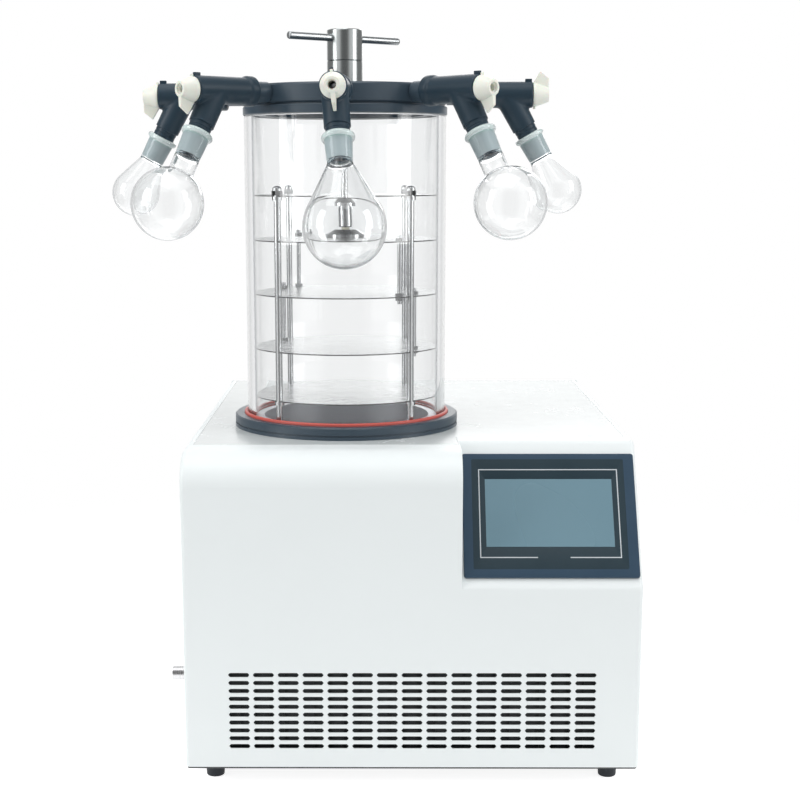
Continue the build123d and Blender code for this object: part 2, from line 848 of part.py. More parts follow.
# Manifold: top disc with an open plenum below, a boss for the screw bush and the port holes
plenum_top = manifold_top - manifold_top_wall
with BuildPart() as manifold_ring:
    with BuildSketch(turning_plane):
        with BuildLine():
            Polyline(
                (bush_spigot_radius + trap_fit / 2, plenum_top - lid_flange_height),
                (boss_radius, plenum_top - lid_flange_height),
                (boss_radius, plenum_top),
                (plenum_radius, plenum_top),
                (plenum_radius, manifold_bottom),
                (manifold_radius - manifold_chamfer, manifold_bottom),
                (manifold_radius, manifold_bottom + manifold_chamfer),
                (manifold_radius, manifold_top - manifold_chamfer),
                (manifold_radius - manifold_chamfer, manifold_top),
                (bush_spigot_radius + trap_fit / 2, manifold_top),
                close=True,
            )
        make_face()
    revolve(axis=chamber_axis)
    for number in ports:
        with BuildSketch(across(port_frame(number), plenum_radius - manifold_chamfer)):
            Circle(spigot_radius + stub_fit)
        extrude(amount=manifold_side_wall + 2 * manifold_chamfer, mode=Mode.SUBTRACT)
manifold_ring.part.label = "manifold_ring"
export_step(manifold_ring.part, "parts/manifold_ring.step")

# Port stubs: a spigot inside the manifold wall and a shoulder outside it
with BuildPart() as port_stubs:
    for number in ports:
        with BuildSketch(across(port_frame(number), manifold_radius + panel_gap)):
            Circle(stub_radius)
        extrude(amount=stub_end - manifold_radius - panel_gap)
        with BuildSketch(across(port_frame(number), stub_start)):
            Circle(spigot_radius)
        extrude(amount=manifold_radius + sheet - stub_start)
        with BuildSketch(across(port_frame(number), stub_start)):
            Circle(stub_bore)
        extrude(amount=stub_end - stub_start, mode=Mode.SUBTRACT)
port_stubs.part.label = "port_stubs"
export_step(port_stubs.part, "parts/port_stubs.step")

# ------------------------------------------------------------------------------ handle
with BuildPart() as lid_bush:
    with BuildSketch(turning_plane):
        with BuildLine():
            Polyline(
                (screw_bore, manifold_top - bush_spigot_length),
                (bush_spigot_radius, manifold_top - bush_spigot_length),
                (bush_spigot_radius, manifold_top),
                (hub_radius, manifold_top),
                (hub_radius, hub_bottom - hub_joint - hub_chamfer / 2),
                (hub_radius - hub_chamfer / 2, hub_bottom - hub_joint),
                (screw_bore, hub_bottom - hub_joint),
                close=True,
            )
        make_face()
    revolve(axis=chamber_axis)
lid_bush.part.label = "lid_bush"
export_step(lid_bush.part, "parts/lid_bush.step")

bar_height = hub_top - bar_drop
bar_angle = radians(bar_turn)
bar_direction = Vector(cos(bar_angle), sin(bar_angle), 0)
bar_middle = Vector(chamber_x, chamber_y, bar_height)
bar_plane = Plane(origin=bar_middle, z_dir=bar_direction)
with BuildPart() as handle_hub:
    with BuildSketch(turning_plane):
        with BuildLine():
            Polyline(
                (0, hub_bottom + screw_grip),
                (screw_bore, hub_bottom + screw_grip),
                (screw_bore, hub_bottom),
                (hub_radius - hub_chamfer / 2, hub_bottom),
                (hub_radius, hub_bottom + hub_chamfer / 2),
                (hub_radius, hub_top - hub_chamfer),
                (hub_radius - hub_chamfer, hub_top),
                (0, hub_top),
                close=True,
            )
        make_face()
    revolve(axis=chamber_axis)
    with BuildSketch(bar_plane):
        Circle(bar_radius + running_gap)
    extrude(amount=hub_radius + hub_chamfer, both=True, mode=Mode.SUBTRACT)
handle_hub.part.label = "handle_hub"
export_step(handle_hub.part, "parts/handle_hub.step")

bar_end_round = 0.9 * bar_radius
with BuildPart() as t_bar:
    with BuildSketch(bar_plane):
        Circle(bar_radius)
    extrude(amount=bar_length / 2, both=True)
    fillet(t_bar.edges().filter_by(GeomType.CIRCLE), radius=bar_end_round)
t_bar.part.label = "t_bar"
export_step(t_bar.part, "parts/t_bar.step")

# Press screw, from inside the hub down into the press sleeve
top_shelf = shelf_levels[0]
press_shelf = shelf_levels[1]
collar_bottom = top_shelf - shelf_thickness - collar_height
pad_bottom = press_shelf + foot_plate_height
sleeve_bottom = pad_bottom + pad_height
sleeve_top = sleeve_bottom + sleeve_length
screw_bottom = sleeve_bottom + sleeve_floor + hub_chamfer
with BuildPart() as press_screw:
    with BuildSketch(chamber_plane(screw_bottom)):
        Circle(screw_radius)
    extrude(amount=hub_bottom + screw_grip - panel_gap - screw_bottom)
    chamfer(press_screw.edges().group_by(Axis.Z)[0], length=hub_chamfer)
press_screw.part.label = "press_screw"
export_step(press_screw.part, "parts/press_screw.step")

# ------------------------------------------------------------------------------ rack


def on_shelf(inset, turn):
    # point inside the shelves' edge, turned from the right-hand side
    reach = shelf_radius - inset
    return (reach * cos(radians(turn)), reach * sin(radians(turn)))


guide_points = [
    on_shelf(guide_inset, guide_turn),
    on_shelf(guide_inset, 180 - guide_turn),
    on_shelf(guide_inset, 180 + guide_turn),
    on_shelf(guide_inset, -guide_turn),
]
upper_hanger_points = [
    on_shelf(upper_hanger_inset, upper_hanger_turn),
    on_shelf(upper_hanger_inset, upper_hanger_turn + 180),
]
lower_hanger_points = [
    on_shelf(lower_hanger_inset, lower_hanger_turn),
    on_shelf(lower_hanger_inset, lower_hanger_turn + 180),
]


def shelf_plate(number, hanger_points, middle_hole):
    # round shelf with guide notches, holes for hangers that pass or end here, and a middle hole
    with BuildPart() as shelf:
        with BuildSketch(chamber_plane(shelf_levels[number])):
            Circle(shelf_radius)
            with Locations(*guide_points):
                Circle(guide_radius + guide_gap, mode=Mode.SUBTRACT)
            if hanger_points:
                with Locations(*hanger_points):
                    Circle(hanger_radius + guide_gap, mode=Mode.SUBTRACT)
            if middle_hole:
                Circle(middle_hole, mode=Mode.SUBTRACT)
        extrude(amount=-shelf_thickness)
    return shelf.part


rack_top_plate = shelf_plate(0, [], screw_radius + guide_gap)
rack_top_plate.label = "rack_top_plate"
export_step(rack_top_plate, "parts/rack_top_plate.step")

shelf_hangers = [
    upper_hanger_points,
    upper_hanger_points + lower_hanger_points,
    lower_hanger_points,
    [],
]
for number, hanger_points in enumerate(shelf_hangers, start=1):
    shelf = shelf_plate(number, hanger_points, 0)
    shelf.label = f"shelf_{number + 1}"
    export_step(shelf, f"parts/shelf_{number + 1}.step")

# Guide rods stand on the trap's rim and carry the top plate
guide_top = top_shelf + guide_rise
with BuildPart() as guide_rods:
    with BuildSketch(chamber_plane(trap_rim_top)):
        with Locations(*guide_points):
            Circle(guide_radius)
    extrude(amount=guide_top - trap_rim_top)
guide_rods.part.label = "guide_rods"
export_step(guide_rods.part, "parts/guide_rods.step")

# Dome nuts over the rods' ends, and collars under the top plate and the lowest shelf
with BuildPart() as rack_nuts:
    with BuildSketch(chamber_plane(top_shelf)):
        with Locations(*guide_points):
            RegularPolygon(nut_radius, 6)
    extrude(amount=nut_height)
    with BuildSketch(chamber_plane(top_shelf + nut_height)):
        with Locations(*guide_points):
            Circle(guide_radius + shelf_thickness)
    extrude(amount=guide_rise - nut_height + shelf_thickness)
    fillet(rack_nuts.faces().group_by(Axis.Z)[-1].edges(), radius=guide_radius)
    for support in (shelf_levels[4], top_shelf):
        with BuildSketch(chamber_plane(support - shelf_thickness)):
            with Locations(*guide_points):
                Circle(guide_collar_radius)
        extrude(amount=-guide_collar_height)
    with BuildSketch(chamber_plane(trap_rim_top)):
        with Locations(*guide_points):
            Circle(guide_radius + running_gap)
    extrude(amount=guide_top + running_gap - trap_rim_top, mode=Mode.SUBTRACT)
rack_nuts.part.label = "rack_nuts"
export_step(rack_nuts.part, "parts/rack_nuts.step")


def hangers(points, upper_level, lower_level):
    # pair of rods with a nut above the upper shelf and nuts round the lower one
    low = lower_level - shelf_thickness
    with BuildPart() as pair:
        with BuildSketch(chamber_plane(low - hanger_tail)):
            with Locations(*points):
                Circle(hanger_radius)
        extrude(amount=upper_level + hanger_tail - low + hanger_tail)
        for start in (low - hanger_nut_height, lower_level, upper_level):
            with BuildSketch(chamber_plane(start)):
                with Locations(*points):
                    RegularPolygon(hanger_nut_radius, 6)
            extrude(amount=hanger_nut_height)
    return pair.part


upper_hangers = hangers(upper_hanger_points, shelf_levels[1], shelf_levels[2])
upper_hangers.label = "upper_hangers"
export_step(upper_hangers, "parts/upper_hangers.step")

lower_hangers = hangers(lower_hanger_points, shelf_levels[2], shelf_levels[3])
lower_hangers.label = "lower_hangers"
export_step(lower_hangers, "parts/lower_hangers.step")

# Flared collar under the top plate
plate_underside = top_shelf - shelf_thickness
with BuildPart() as press_collar:
    with BuildSketch(turning_plane):
        with BuildLine():
            Polyline(
                (screw_radius + guide_gap, plate_underside),
                (collar_neck_radius, plate_underside),
                (collar_radius, plate_underside - collar_cone),
                (collar_radius, collar_bottom),
                (screw_radius + guide_gap, collar_bottom),
                close=True,
            )
        make_face()
    revolve(axis=chamber_axis)
press_collar.part.label = "press_collar"
export_step(press_collar.part, "parts/press_collar.step")

# Threaded sleeve that the screw drives down
with BuildPart() as press_sleeve:
    with BuildSketch(turning_plane):
        with BuildLine():
            Polyline(
                (0, sleeve_bottom),
                (sleeve_radius - hub_chamfer, sleeve_bottom),
                (sleeve_radius, sleeve_bottom + hub_chamfer),
                (sleeve_radius, sleeve_top),
                (screw_bore, sleeve_top),
                (screw_bore, sleeve_bottom + sleeve_floor),
                (0, sleeve_bottom + sleeve_floor),
                close=True,
            )
        make_face()
    revolve(axis=chamber_axis)
press_sleeve.part.label = "press_sleeve"
export_step(press_sleeve.part, "parts/press_sleeve.step")

with BuildPart() as press_pad:
    with BuildSketch(chamber_plane(pad_bottom)):
        Circle(pad_radius)
    extrude(amount=pad_height)
press_pad.part.label = "press_pad"
export_step(press_pad.part, "parts/press_pad.step")

with BuildPart() as press_foot:
    with BuildSketch(turning_plane):
        with BuildLine():
            Polyline(
                (0, press_shelf),
                (foot_plate_radius, press_shelf),
                (foot_plate_radius, press_shelf + foot_plate_edge),
                (collar_radius, pad_bottom),
                (0, pad_bottom),
                close=True,
            )
        make_face()
    revolve(axis=chamber_axis)
press_foot.part.label = "press_foot"
export_step(press_foot.part, "parts/press_foot.step")

# ------------------------------------------------------------------------------ valves
plug_top = joint_bore_top - joint_fit
plug_bottom = joint_bore_bottom - joint_fit


def on_bulb(middle, radius, turn):
    # point of the bulb's outline, turned from the bottom of the flask
    return (middle + radius * cos(turn), radius * sin(turn))


def neck_turn(kind, radius, neck):
    # where the outline leaves the bulb: at the straight neck, or where a cone from it is tangent
    if kind == "round":
        return pi - asin(neck / radius)
    reach = bulb_middle[kind] - neck_start
    return atan2(neck, -reach) - acos(radius / hypot(reach, neck))


for number in ports:
    frame = port_frame(number)
    branch = branch_frame(frame)
    port_axis = Axis(frame.origin, frame.x_dir)
    branch_axis = Axis(branch.origin, branch.x_dir)

    # Rubber body: collar on the stub, straight tube, and a branch that ends in a tapered plug
    with BuildPart() as valve_body:
        with BuildSketch(frame):
            with BuildLine():
                Polyline(
                    (collar_start, 0),
                    (collar_start, valve_collar_radius - 2 * branch_edge),
                    (collar_start + 2 * branch_edge, valve_collar_radius),
                    (collar_end - 2 * branch_edge, valve_collar_radius),
                    (collar_end, valve_radius),
                    (valve_end - branch_edge, valve_radius),
                    (valve_end, valve_radius - branch_edge),
                    (valve_end, 0),
                    close=True,
                )
            make_face()
        revolve(axis=port_axis)
        with BuildSketch(branch):
            with BuildLine():
                Polyline(
                    (0, 0),
                    (0, branch_radius),
                    (branch_length, branch_end_radius),
                    (branch_length, step_radius),
                    (joint_start - branch_edge, step_end_radius),
                    (joint_start, plug_top),
                    (joint_end, plug_bottom),
                    (joint_end, 0),
                    close=True,
                )
            make_face()
        revolve(axis=branch_axis)
        with BuildSketch(across(frame, collar_start)):
            Circle(stub_radius + stub_fit)
        extrude(amount=stub_end + stub_fit - collar_start, mode=Mode.SUBTRACT)
        with BuildSketch(across(frame, stub_end)):
            Circle(stub_bore)
        extrude(amount=stem_start - stub_end, mode=Mode.SUBTRACT)
        with BuildSketch(across(frame, knob_bore_start)):
            Circle(stem_radius + running_gap)
        extrude(amount=valve_end - knob_bore_start, mode=Mode.SUBTRACT)
        with BuildSketch(across(branch, 0)):
            Circle(branch_bore)
        extrude(amount=joint_end, mode=Mode.SUBTRACT)
        with BuildSketch(frame.offset(-lug_width / 2)):
            with Locations((valve_end - lug_length / 2 - branch_edge, valve_radius)):
                Rectangle(lug_length, 2 * lug_height)
        extrude(amount=lug_width)
    valve_body.part.label = f"valve_body_{number + 1}"
    export_step(valve_body.part, f"parts/valve_body_{number + 1}.step")

    # Knob: hollow stem in the tube, disc and cone outside it, a finger fin and a pointer nub
    knob_base = valve_end + knob_gap
    knob_tip = valve_end + knob_length
    side = knob_directions[number]
    with BuildPart() as valve_knob:
        with BuildSketch(frame):
            with BuildLine():
                Polyline(
                    (stem_start, 0),
                    (stem_start, stem_radius),
                    (knob_base, stem_radius),
                    (knob_base, knob_disc_radius),
                    (knob_base + knob_disc_height, knob_disc_radius),
                    (knob_tip, knob_nose_radius),
                    (knob_tip, 0),
                    close=True,
                )
            make_face()
        revolve(axis=port_axis)
        with BuildSketch(frame.offset(-fin_thickness / 2)):
            Polygon(
                (knob_tip, 0),
                (knob_tip, side * fin_front_reach),
                (knob_tip - fin_tip_axial, side * fin_tip_reach),
                (knob_base, side * knob_disc_radius),
                (knob_base, 0),
                align=None,
            )
        extrude(amount=fin_thickness)
        with BuildSketch(frame.offset(-nub_width / 2)):
            with Locations((knob_base + nub_width / 2, -side * nub_reach / 2)):
                Rectangle(nub_width, nub_reach)
        extrude(amount=nub_width)
        with BuildSketch(across(frame, stem_start)):
            Circle(knob_hole)
        extrude(amount=knob_tip - stem_start, mode=Mode.SUBTRACT)
        with BuildSketch(across(branch, 0)):
            Circle(branch_bore)
        extrude(amount=valve_radius, mode=Mode.SUBTRACT)
    valve_knob.part.label = f"valve_knob_{number + 1}"
    export_step(valve_knob.part, f"parts/valve_knob_{number + 1}.step")

    # Flask: ground joint with a beaded lip, then a straight neck or a cone, then the bulb
    kind = flask_kinds[number]
    middle = bulb_middle[kind]
    outer_radius = bulb_radius[kind]
    inner_radius = outer_radius - glass_wall
    outer_turn = neck_turn(kind, outer_radius, neck_radius)
    inner_turn = neck_turn(kind, inner_radius, neck_radius - glass_wall)
    outer_start = on_bulb(middle, outer_radius, outer_turn)
    outer_side = on_bulb(middle, outer_radius, outer_turn / 2)
    inner_start = on_bulb(middle, inner_radius, inner_turn)
    inner_side = on_bulb(middle, inner_radius, inner_turn / 2)
    with BuildPart() as flask:
        with BuildSketch(branch):
            with BuildLine():
                Polyline(
                    (joint_end, joint_bore_bottom),
                    (joint_start, joint_bore_top),
                    (joint_start, joint_outer_top),
                )
                ThreePointArc(
                    (joint_start, joint_outer_top),
                    (joint_start + lip_height / 2, lip_radius),
                    (joint_start + lip_height, joint_outer_top),
                )
                Polyline(
                    (joint_start + lip_height, joint_outer_top),
                    (joint_end, joint_outer_bottom),
                    (neck_start, neck_radius),
                    outer_start,
                )
                ThreePointArc(outer_start, outer_side, (middle + outer_radius, 0))
                Line((middle + outer_radius, 0), (middle + inner_radius, 0))
                ThreePointArc((middle + inner_radius, 0), inner_side, inner_start)
                Polyline(
                    inner_start,
                    (neck_start, neck_radius - glass_wall),
                    (joint_end, joint_bore_bottom),
                )
            make_face()
        revolve(axis=branch_axis)
    flask.part.label = f"flask_{number + 1}"
    export_step(flask.part, f"parts/flask_{number + 1}.step")

# ------------------------------------------------------------------------------ cooling
condenser_front = cabinet_front + sheet + condenser_setback
with BuildPart() as condenser:
    with BuildSketch(Plane.XY.offset(panel_bottom)):
        with Locations((cabinet_x, condenser_front + condenser_thickness / 2)):
            Rectangle(condenser_width, condenser_thickness)
    extrude(amount=condenser_height)
    fin_pitch = condenser_width / (condenser_fins + 1)
    with BuildSketch(Plane.XY.offset(panel_bottom + condenser_groove)):
        with Locations((cabinet_x, condenser_front + condenser_groove_depth / 2)):
            with GridLocations(fin_pitch, 0, condenser_fins, 1):
                Rectangle(condenser_groove, condenser_groove_depth)
    extrude(amount=condenser_height - 2 * condenser_groove, mode=Mode.SUBTRACT)
condenser.part.label = "condenser"
export_step(condenser.part, "parts/condenser.step")

fan_front = condenser_front + condenser_thickness
fan_middle_height = panel_bottom + fan_frame_size / 2
fan_plane = Plane(
    origin=(cabinet_x, fan_front, fan_middle_height), x_dir=(-1, 0, 0), z_dir=(0, 1, 0)
)
motor_front = fan_frame_thickness - 2 * fan_spoke_thickness

# Fan frame: square duct with a motor can on four spokes
with BuildPart() as fan_frame:
    with BuildSketch(fan_plane):
        RectangleRounded(fan_frame_size, fan_frame_size, edge_radius)
        Circle(fan_opening, mode=Mode.SUBTRACT)
    extrude(amount=fan_frame_thickness)
    with BuildSketch(fan_plane.offset(fan_frame_thickness - fan_spoke_thickness)):
        Rectangle(2 * fan_opening + edge_radius, fan_spoke_width)
        Rectangle(fan_spoke_width, 2 * fan_opening + edge_radius)
        Circle(fan_motor_radius)
    extrude(amount=fan_spoke_thickness)
    with BuildSketch(fan_plane.offset(motor_front)):
        Circle(fan_motor_radius / 2)
    extrude(amount=fan_spoke_thickness)
    with BuildSketch(fan_plane.offset(motor_front)):
        Circle(fan_shaft_radius + running_gap)
    extrude(amount=2 * fan_spoke_thickness, mode=Mode.SUBTRACT)
fan_frame.part.label = "fan_frame"
export_step(fan_frame.part, "parts/fan_frame.step")

hub_start = motor_front - panel_gap - fan_hub_height
with BuildPart() as fan_rotor:
    with BuildSketch(fan_plane.offset(hub_start)):
        Circle(fan_hub_radius)
    extrude(amount=fan_hub_height)
    for blade in range(fan_blades):
        turn = 2 * pi * blade / fan_blades
        outwards = Vector(cos(turn), 0, sin(turn))
        foot = Vector(cabinet_x, fan_front + hub_start + fan_hub_height / 2, fan_middle_height)
        blade_root = foot + outwards * (fan_hub_radius - sheet)
        with BuildSketch(Plane(origin=blade_root, x_dir=(0, 1, 0), z_dir=outwards)):
            Rectangle(fan_blade_chord, fan_blade_thickness, rotation=fan_blade_pitch)
        extrude(amount=fan_blade_radius - fan_hub_radius + sheet)
    with BuildSketch(fan_plane.offset(hub_start)):
        Circle(fan_shaft_radius)
    extrude(amount=fan_frame_thickness - hub_start)
fan_rotor.part.label = "fan_rotor"
export_step(fan_rotor.part, "parts/fan_rotor.step")

# Hermetic compressor: domed can on a mounting plate
compressor_bottom = panel_bottom + compressor_plate_height
compressor_place = (cabinet_right - compressor_from_right, cabinet_rear - compressor_from_rear)
with BuildPart() as compressor:
    with BuildSketch(Plane.XY.offset(panel_bottom)):
        with Locations(compressor_place):
            RectangleRounded(compressor_plate, compressor_plate, compressor_dome / 2)
    extrude(amount=compressor_plate_height)
    with BuildSketch(Plane.XY.offset(compressor_bottom)):
        with Locations(compressor_place):
            Circle(compressor_radius)
    extrude(amount=compressor_height)
    fillet(compressor.edges().group_by(Axis.Z)[-1], radius=compressor_dome)
compressor.part.label = "compressor"
export_step(compressor.part, "parts/compressor.step")

with BuildPart() as power_supply:
    with BuildSketch(Plane.XY.offset(panel_bottom)):
        with Locations((cabinet_left + supply_from_left, cabinet_rear - supply_from_rear)):
            Rectangle(supply_width, supply_depth)
    extrude(amount=supply_height)
    chamfer(power_supply.faces().sort_by(Axis.Z)[-1].edges(), length=sheet)
power_supply.part.label = "power_supply"
export_step(power_supply.part, "parts/power_supply.step")

# ------------------------------------------------------------------------------ fittings
drain_frame = Plane(
    origin=(cabinet_left, drain_y, drain_height), x_dir=(0, 0, 1), z_dir=(-1, 0, 0)
)
with BuildPart() as drain_port:
    with BuildSketch(drain_frame.offset(-sheet - panel_gap - drain_nut)):
        Circle(drain_radius)
    extrude(amount=drain_x_length + sheet + panel_gap + drain_nut)
    with BuildSketch(drain_frame.offset(panel_gap)):
        Circle(drain_washer_radius)
    extrude(amount=drain_washer)
    with BuildSketch(drain_frame.offset(-sheet - panel_gap - drain_nut)):
        RegularPolygon(drain_washer_radius, 6)
    extrude(amount=drain_nut)
    with BuildSketch(drain_frame.offset(-sheet - panel_gap - drain_nut)):
        Circle(drain_bore)
    extrude(amount=drain_x_length + sheet + panel_gap + drain_nut, mode=Mode.SUBTRACT)
drain_port.part.label = "drain_port"
export_step(drain_port.part, "parts/drain_port.step")

vacuum_frame = Plane(
    origin=(chamber_x, cabinet_rear, vacuum_height), x_dir=(0, 0, 1), z_dir=(0, 1, 0)
)
vacuum_axis = Axis(vacuum_frame.origin, vacuum_frame.z_dir)
vacuum_turning = Plane(origin=vacuum_frame.origin, x_dir=(0, 1, 0), z_dir=(-1, 0, 0))
washer_outer = vacuum_flange_radius + 2 * panel_gap
with BuildPart() as vacuum_port:
    with BuildSketch(vacuum_turning):
        with BuildLine():
            Polyline(
                (-sheet - panel_gap - drain_nut, vacuum_bore),
                (-sheet - panel_gap - drain_nut, washer_outer),
                (-sheet - panel_gap, washer_outer),
                (-sheet - panel_gap, vacuum_tube_radius),
                (vacuum_length - vacuum_cone - vacuum_flange_thickness, vacuum_tube_radius),
                (vacuum_length - vacuum_flange_thickness, vacuum_flange_radius),
                (vacuum_length, vacuum_flange_radius),
                (vacuum_length, vacuum_bore),
                close=True,
            )
        make_face()
    revolve(axis=vacuum_axis)
vacuum_port.part.label = "vacuum_port"
export_step(vacuum_port.part, "parts/vacuum_port.step")

# Power inlet with three contact blades in its well
inlet_frame = Plane(
    origin=(cabinet_x + inlet_x, cabinet_rear, inlet_height), x_dir=(-1, 0, 0), z_dir=(0, 1, 0)
)
with BuildPart() as power_inlet:
    with BuildSketch(inlet_frame):
        RectangleRounded(inlet_width + 2 * inlet_margin, inlet_tall + 2 * inlet_margin, bezel_corner)
    extrude(amount=inlet_plate_thickness)
    with BuildSketch(inlet_frame):
        Rectangle(inlet_width - panel_gap, inlet_tall - panel_gap)
    extrude(amount=-inlet_body_depth)
    with BuildSketch(inlet_frame.offset(inlet_plate_thickness)):
        Rectangle(inlet_width - 2 * inlet_wall, inlet_tall - 2 * inlet_wall)
    extrude(amount=-inlet_body_depth, mode=Mode.SUBTRACT)
    with BuildSketch(inlet_frame.offset(-inlet_body_depth + inlet_wall / 2)):
        with GridLocations(inlet_blade_pitch, 0, 3, 1):
            Rectangle(inlet_blade, 2 * inlet_blade)
    extrude(amount=inlet_body_depth - inlet_wall)
power_inlet.part.label = "power_inlet"
export_step(power_inlet.part, "parts/power_inlet.step")
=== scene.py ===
import bmesh
import bpy
import numpy as np
from math import acos, asin, atan2, cos, hypot, pi, radians, sin
from mathutils import Matrix, Vector


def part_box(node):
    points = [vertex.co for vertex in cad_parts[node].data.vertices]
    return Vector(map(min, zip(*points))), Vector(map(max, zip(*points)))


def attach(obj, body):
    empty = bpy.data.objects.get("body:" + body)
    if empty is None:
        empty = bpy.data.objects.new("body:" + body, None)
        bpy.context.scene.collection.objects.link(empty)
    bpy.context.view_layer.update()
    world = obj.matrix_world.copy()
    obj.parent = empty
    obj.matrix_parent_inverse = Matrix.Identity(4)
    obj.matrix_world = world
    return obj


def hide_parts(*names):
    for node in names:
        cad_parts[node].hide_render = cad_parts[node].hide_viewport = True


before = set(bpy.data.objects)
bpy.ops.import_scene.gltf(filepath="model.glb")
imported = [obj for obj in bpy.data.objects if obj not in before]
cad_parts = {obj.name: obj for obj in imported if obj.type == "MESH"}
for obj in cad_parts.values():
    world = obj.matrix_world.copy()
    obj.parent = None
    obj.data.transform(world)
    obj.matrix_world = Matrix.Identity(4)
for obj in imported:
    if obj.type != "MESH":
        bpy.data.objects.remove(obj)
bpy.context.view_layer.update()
mm = 0.001
print("frame loaded")


# shapes: every one is a grid of points or a profile carried round an axis, in millimetres
def boxOf(node):
    # lowest and highest corner of a node
    low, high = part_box(node)
    return np.array(low) / mm, np.array(high) / mm


def seatAt(origin, along, side):
    # three unit directions, square to each other, and an origin: profiles turn about the first
    along = np.array(along, float) / np.linalg.norm(along)
    side = np.array(side, float) - along * np.dot(side, along)
    side = side / np.linalg.norm(side)
    return {"origin": np.array(origin, float), "along": along, "side": side, "third": np.cross(along, side)}


def eased(points, radius, steps=4, closed=True):
    # every corner c gets a curve from a to b, the points a radius back along its two sides, or
    # 0.45 of a short side: (1 - t)^2 a + 2 t (1 - t) c + t^2 b. Points that fall together are dropped
    shortSide, samePlace = 0.45, 1e-4
    points = np.array(points, float)
    radii = np.broadcast_to(np.array(radius, float), (len(points),)).copy()
    if not closed:
        radii[[0, -1]] = 0
    back = np.roll(points, 1, axis=0) - points
    ahead = np.roll(points, -1, axis=0) - points
    backLength = np.linalg.norm(back, axis=1)
    aheadLength = np.linalg.norm(ahead, axis=1)
    start = points + back * (np.minimum(radii, shortSide * backLength) / backLength)[:, None]
    end = points + ahead * (np.minimum(radii, shortSide * aheadLength) / aheadLength)[:, None]
    t = np.linspace(0, 1, steps + 1)[None, :, None]
    curve = (1 - t) ** 2 * start[:, None] + 2 * t * (1 - t) * points[:, None] + t ** 2 * end[:, None]
    curve = curve.reshape(-1, points.shape[1])
    apart = np.linalg.norm(curve - np.roll(curve, 1, axis=0), axis=1) > samePlace
    if not closed:
        apart[0] = True
    return curve[apart]


def gridShell(points, wrapRows=True):
    # quads between neighbouring points of a grid, joined up where it wraps
    rows, columns = points.shape[:2]
    index = np.arange(rows * columns).reshape(rows, columns)
    if wrapRows:
        index = np.vstack([index, index[:1]])
    index = np.hstack([index, index[:, :1]])
    quads = np.stack([index[:-1, :-1], index[1:, :-1], index[1:, 1:], index[:-1, 1:]], axis=-1)
    return points.reshape(-1, 3), quads.reshape(-1, 4).tolist()


def turned(profile, seat, closed=True, sides=96):
    # profile points (distance along the axis, radius) at every angle:
    # origin + distance along + radius (cos angle side + sin angle third)
    profile = np.array(profile, float)
    angle = np.linspace(0, 2 * pi, sides, endpoint=False)[None, :, None]
    ring = np.cos(angle) * seat["side"] + np.sin(angle) * seat["third"]
    points = seat["origin"] + profile[:, 0, None, None] * seat["along"] + profile[:, 1, None, None] * ring
    return gridShell(points, wrapRows=closed)


def slab(outline, thickness, seat, middle=0.0):
    # flat outline (along, side) carried half its thickness each way on the third direction;
    # the thickness is one number, or one for each corner
    outline = np.array(outline, float)
    half = np.broadcast_to(np.array(thickness, float) / 2, (len(outline),))[:, None]
    flat = seat["origin"] + outline[:, :1] * seat["along"] + outline[:, 1:] * seat["side"]
    lower = flat + (middle - half) * seat["third"]
    upper = flat + (middle + half) * seat["third"]
    count = len(outline)
    start = np.arange(count)
    after = np.roll(start, -1)
    sides = np.stack([start, after, after + count, start + count], axis=-1).tolist()
    caps = [start[::-1].tolist(), (start + count).tolist()]
    return np.vstack([lower, upper]), sides + caps


def together(*shells):
    # one set of points and faces from several shells
    points, faces, offset = [], [], 0
    for shellPoints, shellFaces in shells:
        points.append(shellPoints)
        faces += [[corner + offset for corner in face] for face in shellFaces]
        offset += len(shellPoints)
    return np.vstack(points), faces


edges = {"steps": 3, "sharpest": 32.0, "merge": 0.002}


def makePiece(name, shell, body, nodes, finish, ease=0.0, marks=None):
    # mesh from a shell, with poles closed and faces turned outwards, riding on its body;
    # ease softens the edges, and marks are a name and one number for each point
    points, faces = shell
    mesh = bpy.data.meshes.new(name)
    mesh.from_pydata((points * mm).tolist(), [], faces)
    if marks is not None:
        layer = mesh.attributes.new(marks[0], "FLOAT", "POINT")
        layer.data.foreach_set("value", np.array(marks[1], np.float32))
    work = bmesh.new()
    work.from_mesh(mesh)
    bmesh.ops.remove_doubles(work, verts=work.verts, dist=edges["merge"] * mm)
    bmesh.ops.recalc_face_normals(work, faces=work.faces)
    work.to_mesh(mesh)
    work.free()
    mesh.shade_smooth()
    piece = bpy.data.objects.new(name, mesh)
    bpy.context.scene.collection.objects.link(piece)
    piece.data.materials.append(finish)
    if ease:
        bevel = piece.modifiers.new("softEdges", "BEVEL")
        bevel.width = ease * mm
        bevel.segments = edges["steps"]
        bevel.limit_method = "ANGLE"
        bevel.angle_limit = radians(edges["sharpest"])
    weighted = piece.modifiers.new("flatFaces", "WEIGHTED_NORMAL")
    weighted.keep_sharp = True
    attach(piece, body)
    if nodes:
        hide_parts(*nodes)
    return piece


# finishes
class Wire:
    # a shader socket that can stand in a sum, a product or a comparison
    def __init__(self, finish, socket):
        self.finish = finish
        self.socket = socket

    def joined(self, operation, first, second):
        return self.finish.node("ShaderNodeMath", {"operation": operation}, {0: first, 1: second})

    def __add__(self, other):
        return self.joined("ADD", self, other)

    def __radd__(self, other):
        return self.joined("ADD", other, self)

    def __sub__(self, other):
        return self.joined("SUBTRACT", self, other)

    def __rsub__(self, other):
        return self.joined("SUBTRACT", other, self)

    def __mul__(self, other):
        return self.joined("MULTIPLY", self, other)

    def __rmul__(self, other):
        return self.joined("MULTIPLY", other, self)

    def __gt__(self, other):
        return self.joined("GREATER_THAN", self, other)

    def __lt__(self, other):
        return self.joined("LESS_THAN", self, other)

    def __abs__(self):
        return self.joined("ABSOLUTE", self, 0.0)


